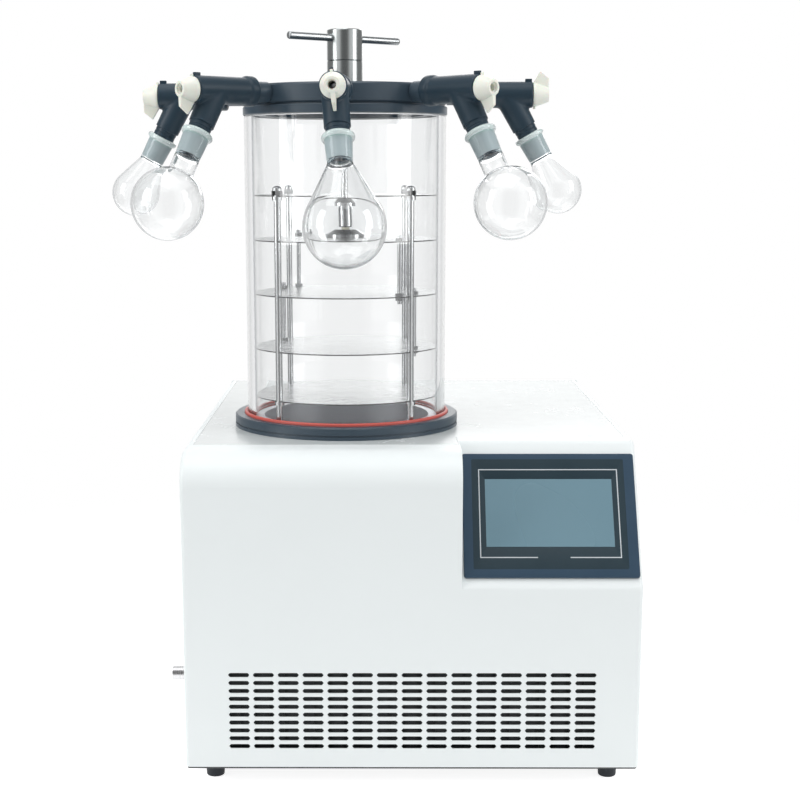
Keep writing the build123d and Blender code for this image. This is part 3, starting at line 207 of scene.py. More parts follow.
class Finish:
    # one material: constants go on the shader's own sockets, changes over the surface are wired
    def __init__(self, name, **constants):
        self.material = bpy.data.materials.new(name)
        self.material.use_nodes = True
        self.tree = self.material.node_tree
        self.shader = self.tree.nodes["Principled BSDF"]
        self.end = self.tree.nodes["Material Output"]
        for socket, value in constants.items():
            self.shader.inputs[socket.replace("_", " ")].default_value = value

    def node(self, kind, settings, values, result=0):
        made = self.tree.nodes.new(kind)
        for name, value in settings.items():
            if name == "stops":
                elements = made.color_ramp.elements
                for _ in value[2:]:
                    elements.new(0.5)
                for element, (position, colour) in zip(elements, value):
                    element.position = position
                    element.color = colour
            else:
                setattr(made, name, value)
        for key, value in values.items():
            self.set(made.inputs[key], value)
        return Wire(self, made.outputs[result])

    def set(self, socket, value):
        if isinstance(value, Wire):
            self.tree.links.new(value.socket, socket)
        else:
            socket.default_value = value

    def wire(self, **values):
        for name, value in values.items():
            self.set(self.shader.inputs[name.replace("_", " ")], value)
        return self

    def place(self):
        return self.node("ShaderNodeTexCoord", {}, {}, "Object")

    def stretched(self, scale):
        return self.node("ShaderNodeMapping", {}, {"Vector": self.place(), "Scale": scale})

    def noise(self, scale, detail=3.0, vector=None):
        return self.node("ShaderNodeTexNoise", {}, {
            "Vector": vector or self.place(), "Scale": scale, "Detail": detail, "Roughness": 0.55})

    def spread(self, value, low, high):
        # noise, which stays mostly between 0.25 and 0.75, brought between low and high
        return self.node("ShaderNodeMapRange", {}, {
            "Value": value, "From Min": 0.25, "From Max": 0.75, "To Min": low, "To Max": high})

    def blend(self, factor, first, second):
        return self.node("ShaderNodeMix", {"data_type": "RGBA"}, {
            "Factor": factor, 6: (*first, 1) if isinstance(first, tuple) else first,
            7: (*second, 1) if isinstance(second, tuple) else second}, 2)

    def bump(self, height, distance, strength):
        return self.node("ShaderNodeBump", {}, {"Height": height, "Distance": distance, "Strength": strength})

    def radiusFrom(self, centre):
        # distance from an upright line through centre, in metres
        flat = self.node("ShaderNodeVectorMath", {"operation": "MULTIPLY_ADD"}, {
            0: self.place(), 1: (1, 1, 0), 2: (-centre[0], -centre[1], 0)})
        return self.node("ShaderNodeVectorMath", {"operation": "LENGTH"}, {0: flat}, "Value")

    def height(self):
        return self.node("ShaderNodeSeparateXYZ", {}, {0: self.place()}, 2)

    def sine(self, value):
        return self.node("ShaderNodeMath", {"operation": "SINE"}, {0: value})


chamberLow, chamberHigh = boxOf("chamber_cylinder")
axis = (chamberLow + chamberHigh) / 2 * np.array([1, 1, 0])
axisMetres = tuple(axis * mm)


def paintFinish(name, colour, rough, coat):
    # powder coat: fine orange peel, faint cloudiness and a slightly uneven sheen
    peel = {"grain": 900.0, "depth": 0.00003, "cloud": 7.0, "darker": 0.975, "sheen": 35.0, "uneven": 0.04}
    finish = Finish(name, Coat_Weight=coat, Coat_Roughness=0.08, IOR=1.5)
    darker = tuple(part * peel["darker"] for part in colour)
    sheen = finish.noise(peel["sheen"])
    return finish.wire(
        Base_Color=finish.blend(finish.noise(peel["cloud"], 2.0), darker, colour),
        Roughness=finish.spread(sheen, rough - peel["uneven"], rough + peel["uneven"]),
        Normal=finish.bump(finish.noise(peel["grain"], 2.0), peel["depth"], 0.5)).material


def turnedFinish(name, colour, rough, metal, pitch, depth):
    # lathe marks: fine rings round the chamber's axis, broken up by a slow noise
    lathe = {"wander": 60.0, "wanderBy": 3.0, "bands": 900.0, "lighter": 1.18, "uneven": 0.07, "rings": 0.5}
    finish = Finish(name, Metallic=metal)
    run = finish.radiusFrom(axisMetres) + finish.height()
    wander = finish.noise(lathe["wander"], 2.0) * lathe["wanderBy"]
    rings = finish.sine(run * (2 * pi / pitch) + wander)
    bands = finish.node("ShaderNodeCombineXYZ", {}, {0: run * lathe["bands"], 1: 0.0, 2: 0.0})
    wide = finish.noise(1.0, 3.0, bands)
    lighter = tuple(min(1.0, part * lathe["lighter"]) for part in colour)
    return finish.wire(
        Base_Color=finish.blend(wide, colour, lighter),
        Roughness=finish.spread(wide, rough - lathe["uneven"], rough + lathe["uneven"]),
        Normal=finish.bump(rings * lathe["rings"] + wide, depth, 0.6)).material


def mouldedFinish(name, colour, rough, grain, depth, **more):
    # moulded rubber or plastic: soft grain, slow colour change and fingertip-sized sheen patches
    moulding = {"patches": 45.0, "lighter": 1.12, "lift": 0.002, "shinier": 0.05, "duller": 0.06}
    finish = Finish(name, **more)
    patches = finish.noise(moulding["patches"])
    lighter = tuple(min(1.0, part * moulding["lighter"] + moulding["lift"]) for part in colour)
    return finish.wire(
        Base_Color=finish.blend(patches, colour, lighter),
        Roughness=finish.spread(patches, rough - moulding["shinier"], rough + moulding["duller"]),
        Normal=finish.bump(finish.noise(grain, 2.0), depth, 0.5)).material


def steelFinish(name, colour, rough, stretch, metal=1.0, sideShadeGrey=None):
    # drawn or brushed metal: noise pulled out along one direction; where a grey is given, faces that look
    # sideways, the edges of a sheet, are painted that grey as painted shade
    brush = {"slow": 25.0, "darker": 0.9, "sideways": 0.4, "shinier": 0.06, "duller": 0.08, "depth": 0.00002}
    finish = Finish(name, Metallic=metal)
    brushed = finish.noise(1.0, 4.0, finish.stretched(stretch))
    darker = tuple(part * brush["darker"] for part in colour)
    shade = finish.blend(finish.noise(brush["slow"], 2.0), darker, colour)
    if sideShadeGrey is not None:
        normal = finish.node("ShaderNodeNewGeometry", {}, {}, "Normal")
        upright = finish.node("ShaderNodeSeparateXYZ", {}, {0: normal}, "Z")
        # painted shade: faces that look sideways are coloured the given dark grey
        shade = finish.blend(abs(upright) < brush["sideways"], shade, (sideShadeGrey, sideShadeGrey, sideShadeGrey))
    return finish.wire(
        Base_Color=shade,
        Roughness=finish.spread(brushed, rough - brush["shinier"], rough + brush["duller"]),
        Normal=finish.bump(brushed, brush["depth"], 0.5)).material


wall = {
    "darker": 0.985, "streaks": (9, 9, 3), "wave": 0.0001,
    "edgeFrom": 0.75, "edgeTo": 0.83, "absorbed": (0.62, 0.70, 0.74, 1),
}


def clearFinish(name, tint, bend, density, edge, inside=None):
    # clear wall that lets lamp light through and darkens where it is seen along, from edgeFrom to
    # edgeTo of a Layer Weight; where inside is given, only nearer to the chamber's axis than that
    finish = Finish(name, Transmission_Weight=1.0, IOR=bend, Roughness=0.0)
    streaks = finish.noise(1.0, 2.0, finish.stretched(wall["streaks"]))
    darker = tuple(part * wall["darker"] for part in tint)
    facing = finish.node("ShaderNodeLayerWeight", {}, {"Blend": 0.5}, "Facing")
    along = finish.node("ShaderNodeMapRange", {}, {
        "Value": facing, "From Min": wall["edgeFrom"], "From Max": wall["edgeTo"]})
    if inside:
        along = along * (finish.radiusFrom(axisMetres) < inside)
    finish.wire(Base_Color=finish.blend(along, finish.blend(streaks, darker, tint), edge),
                Normal=finish.bump(streaks, wall["wave"], 0.4))
    depth = finish.node("ShaderNodeVolumeAbsorption", {}, {"Color": wall["absorbed"], "Density": density})
    finish.tree.links.new(depth.socket, finish.end.inputs["Volume"])
    shadow = finish.node("ShaderNodeLightPath", {}, {}, "Is Shadow Ray")
    through = finish.node("ShaderNodeBsdfTransparent", {}, {"Color": (*tint, 1)})
    glass = Wire(finish, finish.shader.outputs[0])
    shown = finish.node("ShaderNodeMixShader", {}, {0: shadow, 1: glass, 2: through})
    finish.tree.links.new(shown.socket, finish.end.inputs[0])
    return finish.material


milk = {
    "colour": (0.42, 0.49, 0.51), "edge": (0.40, 0.60, 0.55), "lip": (0.84, 0.87, 0.87),
    "alpha": 0.78, "clearer": 0.46, "grain": 1500.0, "depth": 0.00005, "rough": (0.5, 0.7),
}


def groundFinish(name):
    # ground glass: a milky layer with fine grain; alongJoint is 0 at its lip end, 1 further down and
    # below zero on the lip's bead, which is clearer
    finish = Finish(name, IOR=1.2)
    along = finish.node("ShaderNodeAttribute", {"attribute_name": "alongJoint"}, {}, "Fac")
    grain = finish.noise(milk["grain"], 2.0)
    bead = along < -0.5
    return finish.wire(
        Base_Color=finish.blend(bead, finish.blend(along, milk["edge"], milk["colour"]), milk["lip"]),
        Alpha=milk["alpha"] - bead * milk["clearer"],
        Roughness=finish.spread(grain, *milk["rough"]),
        Normal=finish.bump(grain, milk["depth"], 0.5)).material


paintWhite = paintFinish("satinWhite", (0.84, 0.885, 0.89), 0.42, 0.0)
# top plate white: painted greyer than the panels' white as painted shade on the lit top
paintGlossShaded = paintFinish("glossWhiteShaded", (0.665, 0.70, 0.70), 0.25, 0.2)
panBlack = paintFinish("satinBlack", (0.008, 0.010, 0.013), 0.5, 0.0)
enamelBlack = paintFinish("enamelBlack", (0.028, 0.028, 0.03), 0.3, 0.2)
ringBlack = turnedFinish("turnedBlack", (0.036, 0.058, 0.080), 0.34, 0.0, 0.0009, 0.00004)
hubSteel = turnedFinish("turnedSteel", (0.38, 0.40, 0.40), 0.2, 1.0, 0.0007, 0.00003)
rodSteel = steelFinish("drawnSteel", (0.72, 0.73, 0.74), 0.13, (900, 900, 30))
barSteel = steelFinish("barSteel", (0.46, 0.48, 0.49), 0.24, (12, 12, 12))
# shelf steel: the sheet edges are painted near-black as painted shade
plateSteel = steelFinish("shelfSteel", (0.53, 0.54, 0.54), 0.24, (30, 900, 900), 0.5, 0.06)
potSteel = steelFinish("trapSteel", (0.86, 0.88, 0.92), 0.35, (60, 60, 1200), 0.35)
fittingSteel = steelFinish("fittingSteel", (0.58, 0.58, 0.59), 0.28, (1200, 60, 60))
sheetMetal = steelFinish("plainSheet", (0.62, 0.63, 0.64), 0.4, (40, 900, 900))
jacketMetal = steelFinish("jacketSheet", (0.7, 0.7, 0.71), 0.35, (60, 60, 900))
# condenser core: painted near-black as painted shade for the dark inside seen through the front slots
shadedCore = steelFinish("coolerCorePaintedShade", (0.035, 0.04, 0.042), 0.6, (900, 60, 60), 0.3)
gasketRed = mouldedFinish("redSilicone", (0.55, 0.095, 0.075), 0.45, 700.0, 0.00004, Coat_Weight=0.1)
sealGrey = mouldedFinish("greySilicone", (0.50, 0.52, 0.53), 0.4, 700.0, 0.00003)
valveBlack = mouldedFinish("blackRubber", (0.016, 0.035, 0.053), 0.4, 900.0, 0.00004, IOR=1.38)
footBlack = mouldedFinish("footRubber", (0.006, 0.011, 0.017), 0.6, 500.0, 0.00008)
knobIvory = mouldedFinish(
    "ivoryMoulding", (0.76, 0.775, 0.70), 0.34, 600.0, 0.00002, Subsurface_Weight=0.15, Subsurface_Scale=0.003)
padIvory = mouldedFinish("ivoryNylon", (0.78, 0.74, 0.60), 0.45, 600.0, 0.00003)
lineGrey = mouldedFinish("printedLine", (0.50, 0.54, 0.57), 0.4, 900.0, 0.00001)
fanBlack = mouldedFinish("fanMoulding", (0.035, 0.035, 0.04), 0.5, 700.0, 0.00005)
inletBlack = mouldedFinish("inletMoulding", (0.03, 0.03, 0.032), 0.35, 700.0, 0.00005)
boardGreen = mouldedFinish("boardLacquer", (0.03, 0.15, 0.08), 0.3, 300.0, 0.00003)
foamCream = mouldedFinish("rigidFoam", (0.80, 0.76, 0.62), 0.8, 260.0, 0.0004)
acrylicClear = clearFinish("clearAcrylic", (0.995, 0.998, 0.999), 1.49, 4.0, (0.10, 0.115, 0.135), inside=0.108)
flaskClear = clearFinish("clearGlass", (0.995, 0.998, 0.998), 1.47, 28.0, (0.30, 0.33, 0.35))
groundGlass = groundFinish("groundGlass")
print("finishes ready")

# the nodes that stay as they are, and what each is finished in
wear = {
    "front_panel": paintWhite, "left_side_panel": paintWhite, "right_side_panel": paintWhite,
    "rear_panel": paintWhite, "top_plate": paintGlossShaded, "base_pan": panBlack, "rubber_feet": footBlack,
    "control_board": boardGreen, "drain_port": fittingSteel, "vacuum_port": fittingSteel,
    "power_inlet": inletBlack, "compressor": enamelBlack,
    "condenser": shadedCore, "fan_frame": fanBlack, "fan_rotor": fanBlack, "power_supply": sheetMetal,
    "cold_trap_pot": potSteel, "evaporator_jacket": jacketMetal, "trap_insulation": foamCream,
    "base_ring": ringBlack, "chamber_gasket": gasketRed, "lid_seal": sealGrey, "lid_flange": ringBlack,
    "manifold_ring": ringBlack, "port_stubs": ringBlack,
    "lid_bush": hubSteel, "handle_hub": hubSteel, "press_screw": rodSteel,
    "press_collar": rodSteel, "press_sleeve": rodSteel, "press_pad": padIvory, "press_foot": rodSteel,
    "rack_top_plate": plateSteel, "shelf_2": plateSteel, "shelf_3": plateSteel, "shelf_4": plateSteel,
    "shelf_5": plateSteel, "guide_rods": rodSteel, "rack_nuts": rodSteel, "upper_hangers": rodSteel,
    "lower_hangers": rodSteel,
}

# operator screen: surround with a film that is flush with the display, and a printed line.
# Rounded shapes are middle across, middle up, width, length and corner; heights are above the console
panelLow, panelHigh = boxOf("touch_panel")
screen = {
    "lean": atan2(140.6, 86.0), "display": (134.3, 75.4), "displayThick": 3.6, "displayHeight": 0.53,
    "displayEase": 0.15, "gap": 0.2, "openingCorner": 0.4, "surround": (0.4, -2.1, 183.0, 138.0, 3.0),
    "film": (-0.2, -1.0, 161.5, 122.0, 1.6), "filmStep": 0.5, "filmHeight": 2.35, "edgeHeight": 2.6,
    "back": -1.39, "cornerPoints": 9,
    "rolled": [(2.4, 1.0, 0.0), (1.0, 0.4, 0.3), (0.2, 0.0, 1.0), (0.0, 0.0, 1.6)],
    "line": (-0.1, -0.55, 146.5, 97.7), "lineWidth": 1.1, "lineThick": 0.1, "lineHeight": 2.38,
    "lineBreak": (-13.8, 20.2),
    "glass": (0.14, 0.245, 0.30), "frameColour": (0.021, 0.050, 0.086), "filmColour": (0.012, 0.030, 0.042),
}
consoleSeat = seatAt((panelLow + panelHigh) / 2, (1, 0, 0), (0, cos(screen["lean"]), sin(screen["lean"])))


def ringRow(middleX, middleS, width, length, corner, height):
    # rounded rectangle in the console's plane: each quarter circle of the corner radius is carried
    # to its own corner, (half width - radius, half length - radius), and lifted to the height
    count = screen["cornerPoints"]
    quarter = np.linspace(0, pi / 2, count)
    angle = (np.arange(4)[:, None] * pi / 2 + quarter).reshape(-1)
    across = np.repeat([1, -1, -1, 1], count) * (width / 2 - corner) + corner * np.cos(angle) + middleX
    up = np.repeat([1, 1, -1, -1], count) * (length / 2 - corner) + corner * np.sin(angle) + middleS
    return (consoleSeat["origin"] + across[:, None] * consoleSeat["along"]
            + up[:, None] * consoleSeat["side"] + height * consoleSeat["third"])


def screenSurround():
    # rows from the display's opening, over the film and the raised edge, round to the back; the
    # rolled edge's rows are cut from the width, cut from the corner, and drop from the edge's height
    x, y, width, length, corner = screen["surround"]
    filmX, filmY, filmWidth, filmLength, filmCorner = screen["film"]
    step = screen["filmStep"]
    opening = (0, 0, *(size + screen["gap"] for size in screen["display"]), screen["openingCorner"])
    rows = [
        ringRow(*opening, screen["back"]),
        ringRow(*opening, screen["filmHeight"]),
        ringRow(*screen["film"], screen["filmHeight"]),
        ringRow(filmX, filmY, filmWidth + step, filmLength + step, filmCorner, screen["edgeHeight"]),
    ]
    rows += [ringRow(x, y, width - cut, length - cut, corner - cornerCut, screen["edgeHeight"] - drop)
             for cut, cornerCut, drop in screen["rolled"]]
    rows += [ringRow(*screen["surround"], screen["back"])]
    film = np.repeat([1] * 3 + [0] * (len(rows) - 3), rows[0].shape[0])
    return gridShell(np.array(rows)), film


def surroundFinish():
    # satin moulding with a darker film inside its edge
    moulding = {"patches": 30.0, "lighter": 1.15, "grain": 1800.0, "depth": 0.00003, "rough": (0.38, 0.48)}
    finish = Finish("screenSurround", IOR=1.42)
    onFilm = finish.node("ShaderNodeAttribute", {"attribute_name": "film"}, {}, "Fac") > 0.5
    patches = finish.noise(moulding["patches"])
    colours = screen["frameColour"], screen["filmColour"]
    plain = finish.blend(onFilm, *colours)
    raised = [tuple(part * moulding["lighter"] for part in colour) for colour in colours]
    lighter = finish.blend(onFilm, *raised)
    return finish.wire(
        Base_Color=finish.blend(patches, plain, lighter),
        Roughness=finish.spread(patches, *moulding["rough"]),
        Normal=finish.bump(finish.noise(moulding["grain"], 2.0), moulding["depth"], 0.4)).material


def screenFinish():
    # switched-off display under glass: slow cloudiness and a slightly uneven sheen
    display = {"cloud": 8.0, "lighter": 1.08, "rough": (0.22, 0.3)}
    finish = Finish("darkScreen", Coat_Weight=0.3, Coat_Roughness=0.05)
    cloud = finish.noise(display["cloud"], 1.0)
    lighter = tuple(part * display["lighter"] for part in screen["glass"])
    return finish.wire(
        Base_Color=finish.blend(cloud, screen["glass"], lighter),
        Roughness=finish.spread(cloud, *display["rough"])).material


def flatBox(middleX, middleS, width, length, thick, height):
    # rectangle in the console's plane, with its middle at the height
    corners = [(middleX - width / 2, middleS - length / 2), (middleX + width / 2, middleS - length / 2),
               (middleX + width / 2, middleS + length / 2), (middleX - width / 2, middleS + length / 2)]
    return slab(corners, thick, consoleSeat, middle=height)


def lineBox(middleX, middleS, width, length):
    # one printed bar of the line, on the film
    return flatBox(middleX, middleS, width, length, screen["lineThick"], screen["lineHeight"])


surroundShell, filmMark = screenSurround()
makePiece("screenSurround", surroundShell, "cabinet", ["screen_bezel"], surroundFinish(),
          marks=("film", filmMark))
makePiece("screenDisplay", flatBox(0, 0, *screen["display"], screen["displayThick"], screen["displayHeight"]),
          "cabinet", ["touch_panel"], screenFinish(), ease=screen["displayEase"])
lineX, lineS, lineWidth, lineLength = screen["line"]
thick = screen["lineWidth"]
lowSide = lineS - lineLength / 2
breakStart, breakEnd = screen["lineBreak"]
leftEnd, rightEnd = lineX - lineWidth / 2, lineX + lineWidth / 2
makePiece("screenLine", together(
    lineBox(lineX, lineS + lineLength / 2, lineWidth + thick, thick),
    lineBox(leftEnd, lineS, thick, lineLength - thick),
    lineBox(rightEnd, lineS, thick, lineLength - thick),
    lineBox((leftEnd - thick / 2 + breakStart) / 2, lowSide, breakStart - leftEnd + thick / 2, thick),
    lineBox((rightEnd + thick / 2 + breakEnd) / 2, lowSide, rightEnd + thick / 2 - breakEnd, thick),
), "cabinet", [], lineGrey)
print("screen ready")

# ports: a seat along each one, and one down each valve's branch
ports = {
    "angles": (-92.0, -47.0, -2.0, 43.0, 88.0), "twists": (0.0, 0.6, 5.5, 3.0, 0.0),
    "branchAt": (180.5, 179.5, 183.0, 179.5, 179.5), "branchTilts": (28.5, 29.6, 25.5, 29.6, 29.5),
    "drops": (0.0, -1.8, 2.4, -1.8, -1.2), "fins": (-1, -1, -1, -1, 1),
    "flasks": ("smallPear", "round", "pear", "round", "smallPear"),
}
stubsLow, stubsHigh = boxOf("port_stubs")
portHeight = (stubsLow[2] + stubsHigh[2]) / 2


def portSeat(number):
    # along points out of the lid, side points up, turned by the port's twist
    angle, twist = radians(ports["angles"][number]), radians(ports["twists"][number])
    out = np.array([sin(angle), -cos(angle), 0])
    up = np.array([0, 0, 1])
    side = up * cos(twist) + np.cross(out, up) * sin(twist)
    return seatAt((axis[0], axis[1], portHeight), out, side)


def branchSeat(port, number, drop=0.0):
    # along leans outwards from straight down by the branch's tilt, and drop moves the seat along it
    tilt = radians(ports["branchTilts"][number])
    along = port["along"] * sin(tilt) - port["side"] * cos(tilt)
    origin = port["origin"] + port["along"] * ports["branchAt"][number] + along * drop
    return seatAt(origin, along, port["along"])


# profiles are (distance along, radius)
valve = {
    "tube": [(131, 11.1), (131, 13.4), (132.0, 16), (140.8, 16), (143.4, 14.3), (207.4, 14.3),
             (208.4, 13.3), (208.4, 9.56), (160, 9.56), (160, 7), (150.1, 7), (150.1, 11.1)],
    "tubeEase": (0.3, 1.0, 2.4, 2.6, 1.6, 0.6, 0.5, 0.4, 0.2, 0.2, 0.2, 0.2),
    "branchRadius": 14.0, "bore": 6.0, "fillet": 3.4, "tubeRadius": 14.3,
    "boreStart": 12.0, "rootRadius": 12.4, "rootStart": 13.0, "sunkInTube": 0.05, "sunkInBranch": 0.04,
    "branch": [(40.6, 13.5), (41.4, 13.6), (42.2, 13.4), (42.4, 12.1), (46.2, 12.1), (46.5, 11.6),
               (47.1, 11.6), (47.4, 12.0), (50.6, 11.95), (51.2, 11.9), (77.6, 10.6), (77.6, 6.0)],
    "branchEase": (0.4, 0.4, 0.5, 0.3, 0.4, 0.2, 0.2, 0.4, 0.3, 0.1, 0.6, 0.4),
    "lug": [(199.9, 12.0), (207.4, 12.0), (207.4, 17.3), (199.9, 17.3)], "lugWidth": 4.0, "ease": 0.6,
    "sides": 120, "filletRows": 7,
}


def branchShell(port, branch, number):
    # a point at angle a on radius r of the branch meets a tube of radius R at the distance
    # (r cos a sin tilt + sqrt(R^2 - r^2 sin^2 a)) / cos tilt; the fillet is a curve from a point on
    # the tube, past that meeting line, to a point on the branch
    tilt, drop = radians(ports["branchTilts"][number]), ports["drops"][number]
    angle = np.linspace(0, 2 * pi, valve["sides"], endpoint=False)[:, None]
    ring = np.cos(angle) * branch["side"] + np.sin(angle) * branch["third"]

    def meeting(radius, tubeRadius):
        reached = np.sqrt(tubeRadius ** 2 - (radius * np.sin(angle)) ** 2)
        return (radius * np.cos(angle) * sin(tilt) + reached) / cos(tilt)

    def rowAt(distance, radius):
        return branch["origin"] + distance * branch["along"] + radius * ring

    def unit(vectors):
        return vectors / np.linalg.norm(vectors, axis=1)[:, None]

    radius, tubeRadius, reach = valve["branchRadius"], valve["tubeRadius"], valve["fillet"]
    line = rowAt(meeting(radius, tubeRadius), radius)
    flat = line - port["origin"]
    normal = unit(flat - (flat @ port["along"])[:, None] * port["along"])
    outward = unit(ring - np.sum(ring * normal, axis=1)[:, None] * normal)
    flat = line + reach * outward - port["origin"]
    distance = (flat @ port["along"])[:, None] * port["along"]
    onTube = port["origin"] + distance + unit(flat - distance) * (tubeRadius - valve["sunkInTube"])
    onBranch = rowAt(meeting(radius, tubeRadius) + reach, radius - valve["sunkInBranch"])
    rows = [rowAt(meeting(valve["bore"], valve["boreStart"]), valve["bore"]),
            rowAt(meeting(valve["rootRadius"], valve["rootStart"]), valve["rootRadius"])]
    rows += [(1 - t) ** 2 * onTube + 2 * t * (1 - t) * line + t ** 2 * onBranch
             for t in np.linspace(0, 1, valve["filletRows"])]
    profile = eased(valve["branch"], valve["branchEase"], closed=False)
    rows += [rowAt(distance + drop, radius) for distance, radius in profile]
    return gridShell(np.array(rows))


knob = {
    "turned": [(172, 9.5), (208.7, 9.5), (208.7, 13), (211.7, 13), (226.1, 8), (226.1, 5.2), (223.6, 4.9),
               (223.0, 4.0), (172, 4.0)],
    "turnedEase": (0.3, 0.1, 0.7, 0.9, 0.8, 0.6, 0.6, 0.4, 0.2), "ease": 0.6,
    "fin": [(208.8, 6.6), (226.0, 6.6), (226.1, 17.5), (216.3, 25.5), (208.8, 13.2)],
    "finWidths": (5.2, 5.2, 3.9, 3.0, 4.4),
    "nub": [(208.8, 7.0), (211.6, 7.0), (211.6, 15.5), (208.8, 15.5)], "nubWidth": 3.0,
}
# straight flasks have a neck that runs into the bulb, and the others widen from the neck's end;
# skip is how far round the bulb the neck's rounding reaches
flask = {
    "smallPear": {"bulb": 26.0, "middle": 121.0, "straight": False, "soften": 7.0, "skip": 0.05},
    "round": {"bulb": 37.6, "middle": 134.6, "straight": True, "soften": 5.0, "skip": 0.17},
    "pear": {"bulb": 41.3, "middle": 149.6, "straight": False, "soften": 4.0, "skip": 0.05},
    "wall": 1.2, "jointStart": 51.0, "jointEnd": 80.0, "boreTop": 12.1, "taper": 0.05,
    "outerTop": 14.2, "outerEnd": 13.0, "lip": 17.0, "lipHeight": 6.0, "neckStart": 83.0, "neck": 13.2,
    "bulbSteps": 44, "lipSteps": 15, "rimEase": 0.5, "jointEase": 0.4, "lipEase": 0.8, "endEase": 1.0,
    "easeSteps": 6, "sides": 160,
}


def bulbCurve(kind, radius, neck):
    # circle round the bulb's middle, from where the neck's side meets it, or touches it as a
    # tangent from the neck's end, down to the pole: middle + radius cos turn, radius sin turn
    shape = flask[kind]
    reach = shape["middle"] - flask["neckStart"]
    if shape["straight"]:
        start = pi - asin(neck / radius)
    else:
        start = atan2(neck, -reach) - acos(radius / hypot(reach, neck))
    turn = np.append(start, np.linspace(start - shape["skip"], 0, flask["bulbSteps"]))
    return np.stack([shape["middle"] + radius * np.cos(turn), radius * np.sin(turn)], axis=-1).tolist()


def flaskProfile(kind):
    # round the wall once: bore of the joint, beaded lip, outside to the pole, then back inside
    wallThick, neck, soften = flask["wall"], flask["neck"], flask[kind]["soften"]
    jointStart, jointEnd = flask["jointStart"], flask["jointEnd"]
    boreEnd = flask["boreTop"] - flask["taper"] * (jointEnd - jointStart)
    swell = np.linspace(0, pi, flask["lipSteps"])[1:-1]
    half = flask["lipHeight"] / 2
    lip = np.stack([jointStart + half - half * np.cos(swell),
                    flask["outerTop"] + (flask["lip"] - flask["outerTop"]) * np.sin(swell)], axis=-1).tolist()
    outside = bulbCurve(kind, flask[kind]["bulb"], neck)
    inside = bulbCurve(kind, flask[kind]["bulb"] - wallThick, neck - wallThick)[::-1]
    points = [(jointEnd, boreEnd), (jointStart, flask["boreTop"]), (jointStart, flask["outerTop"])] + lip
    radii = [flask["jointEase"], flask["rimEase"], flask["rimEase"]] + [0.0] * len(lip)
    points += [(jointStart + flask["lipHeight"], flask["outerTop"]), (jointEnd, flask["outerEnd"]),
               (flask["neckStart"], neck)] + outside
    radii += [flask["lipEase"], flask["endEase"], soften, soften] + [0.0] * (len(outside) - 1)
    points += inside + [(flask["neckStart"], neck - wallThick)]
    radii += [0.0] * (len(inside) - 1) + [soften, soften]
    return eased(points, radii, steps=flask["easeSteps"])


# ground joint: a thin sleeve in the flask's mouth and a bead inside its lip
ground = {
    "sleeve": [(51.6, 12.2), (51.6, 12.35), (60.0, 11.93), (79.0, 10.98), (79.0, 10.83), (60.0, 11.78)],
    "sleeveMarks": [0, 0, 1, 1, 1, 1], "beadAt": (54.0, 14.1), "beadSize": (2.3, 1.7), "beadSteps": 20,
    "sides": 96,
}


def groundJoint(seat):
    # the bead is an oval: its middle - size cos around, + size sin around
    around = np.linspace(0, 2 * pi, ground["beadSteps"], endpoint=False)
    (along, radius), (length, height) = ground["beadAt"], ground["beadSize"]
    bead = np.stack([along - length * np.cos(around), radius + height * np.sin(around)], axis=-1)
    marks = np.repeat(ground["sleeveMarks"] + [-1] * ground["beadSteps"], ground["sides"])
    return together(*(turned(profile, seat, sides=ground["sides"])
                      for profile in (ground["sleeve"], bead))), marks


for number in range(5):
    port = portSeat(number)
    branch = branchSeat(port, number)
    joint = branchSeat(port, number, ports["drops"][number])
    label = str(number + 1)
    makePiece("valveBody" + label, together(
        turned(eased(valve["tube"], valve["tubeEase"]), port, sides=valve["sides"]),
        branchShell(port, branch, number),
        slab(valve["lug"], valve["lugWidth"], port),
    ), "cabinet", ["valve_body_" + label], valveBlack, ease=valve["ease"])
    side = ports["fins"][number]
    fin = [(along, side * up) for along, up in knob["fin"]]
    nub = [(along, -side * up) for along, up in knob["nub"]]
    makePiece("valveKnob" + label, together(
        turned(eased(knob["turned"], knob["turnedEase"]), port),
        slab(fin, knob["finWidths"], port),
        slab(nub, knob["nubWidth"], port),
    ), "knob_" + label, ["valve_knob_" + label], knobIvory, ease=knob["ease"])
    makePiece("flask" + label, turned(flaskProfile(ports["flasks"][number]), joint, sides=flask["sides"]),
              "cabinet", ["flask_" + label], flaskClear)
    jointShell, jointMarks = groundJoint(joint)
    makePiece("groundJoint" + label, jointShell, "cabinet", [], groundGlass,
              marks=("alongJoint", jointMarks))
print("valves, knobs and flasks ready")

# chamber: a clear tube as tall and wide as its node, with a thicker wall
chamber = {"wall": 8.2, "edge": 0.6, "sides": 360}
outer = (chamberHigh[0] - chamberLow[0]) / 2
inner = outer - chamber["wall"]
chamberEnds = [(chamberLow[2], inner), (chamberLow[2], outer), (chamberHigh[2], outer), (chamberHigh[2], inner)]
chamberSeat = seatAt(axis, (0, 0, 1), (1, 0, 0))
makePiece("chamberWall", turned(eased(chamberEnds, chamber["edge"]), chamberSeat, sides=chamber["sides"]),
          "cabinet", ["chamber_cylinder"], acrylicClear)
print("chamber ready")

# handle bar: a round bar with softened ends
bar = {"radius": 4.1, "length": 152.0, "turn": 38.0, "edge": 2.2}
barLow, barHigh = boxOf("t_bar")
half = bar["length"] / 2
barProfile = [(-half, 0.0), (-half, bar["radius"]), (half, bar["radius"]), (half, 0.0)]
barTurn = radians(bar["turn"])
barSeat = seatAt((barLow + barHigh) / 2, (cos(barTurn), sin(barTurn), 0), (0, 0, 1))
makePiece("handleBar", turned(eased(barProfile, bar["edge"], closed=False), barSeat, closed=False), "handle",
          ["t_bar"], barSteel)
print("handle ready")

for node, finish in wear.items():
    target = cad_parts[node]
    target.data.materials.clear()
    target.data.materials.append(finish)
print("finishes on the frame")

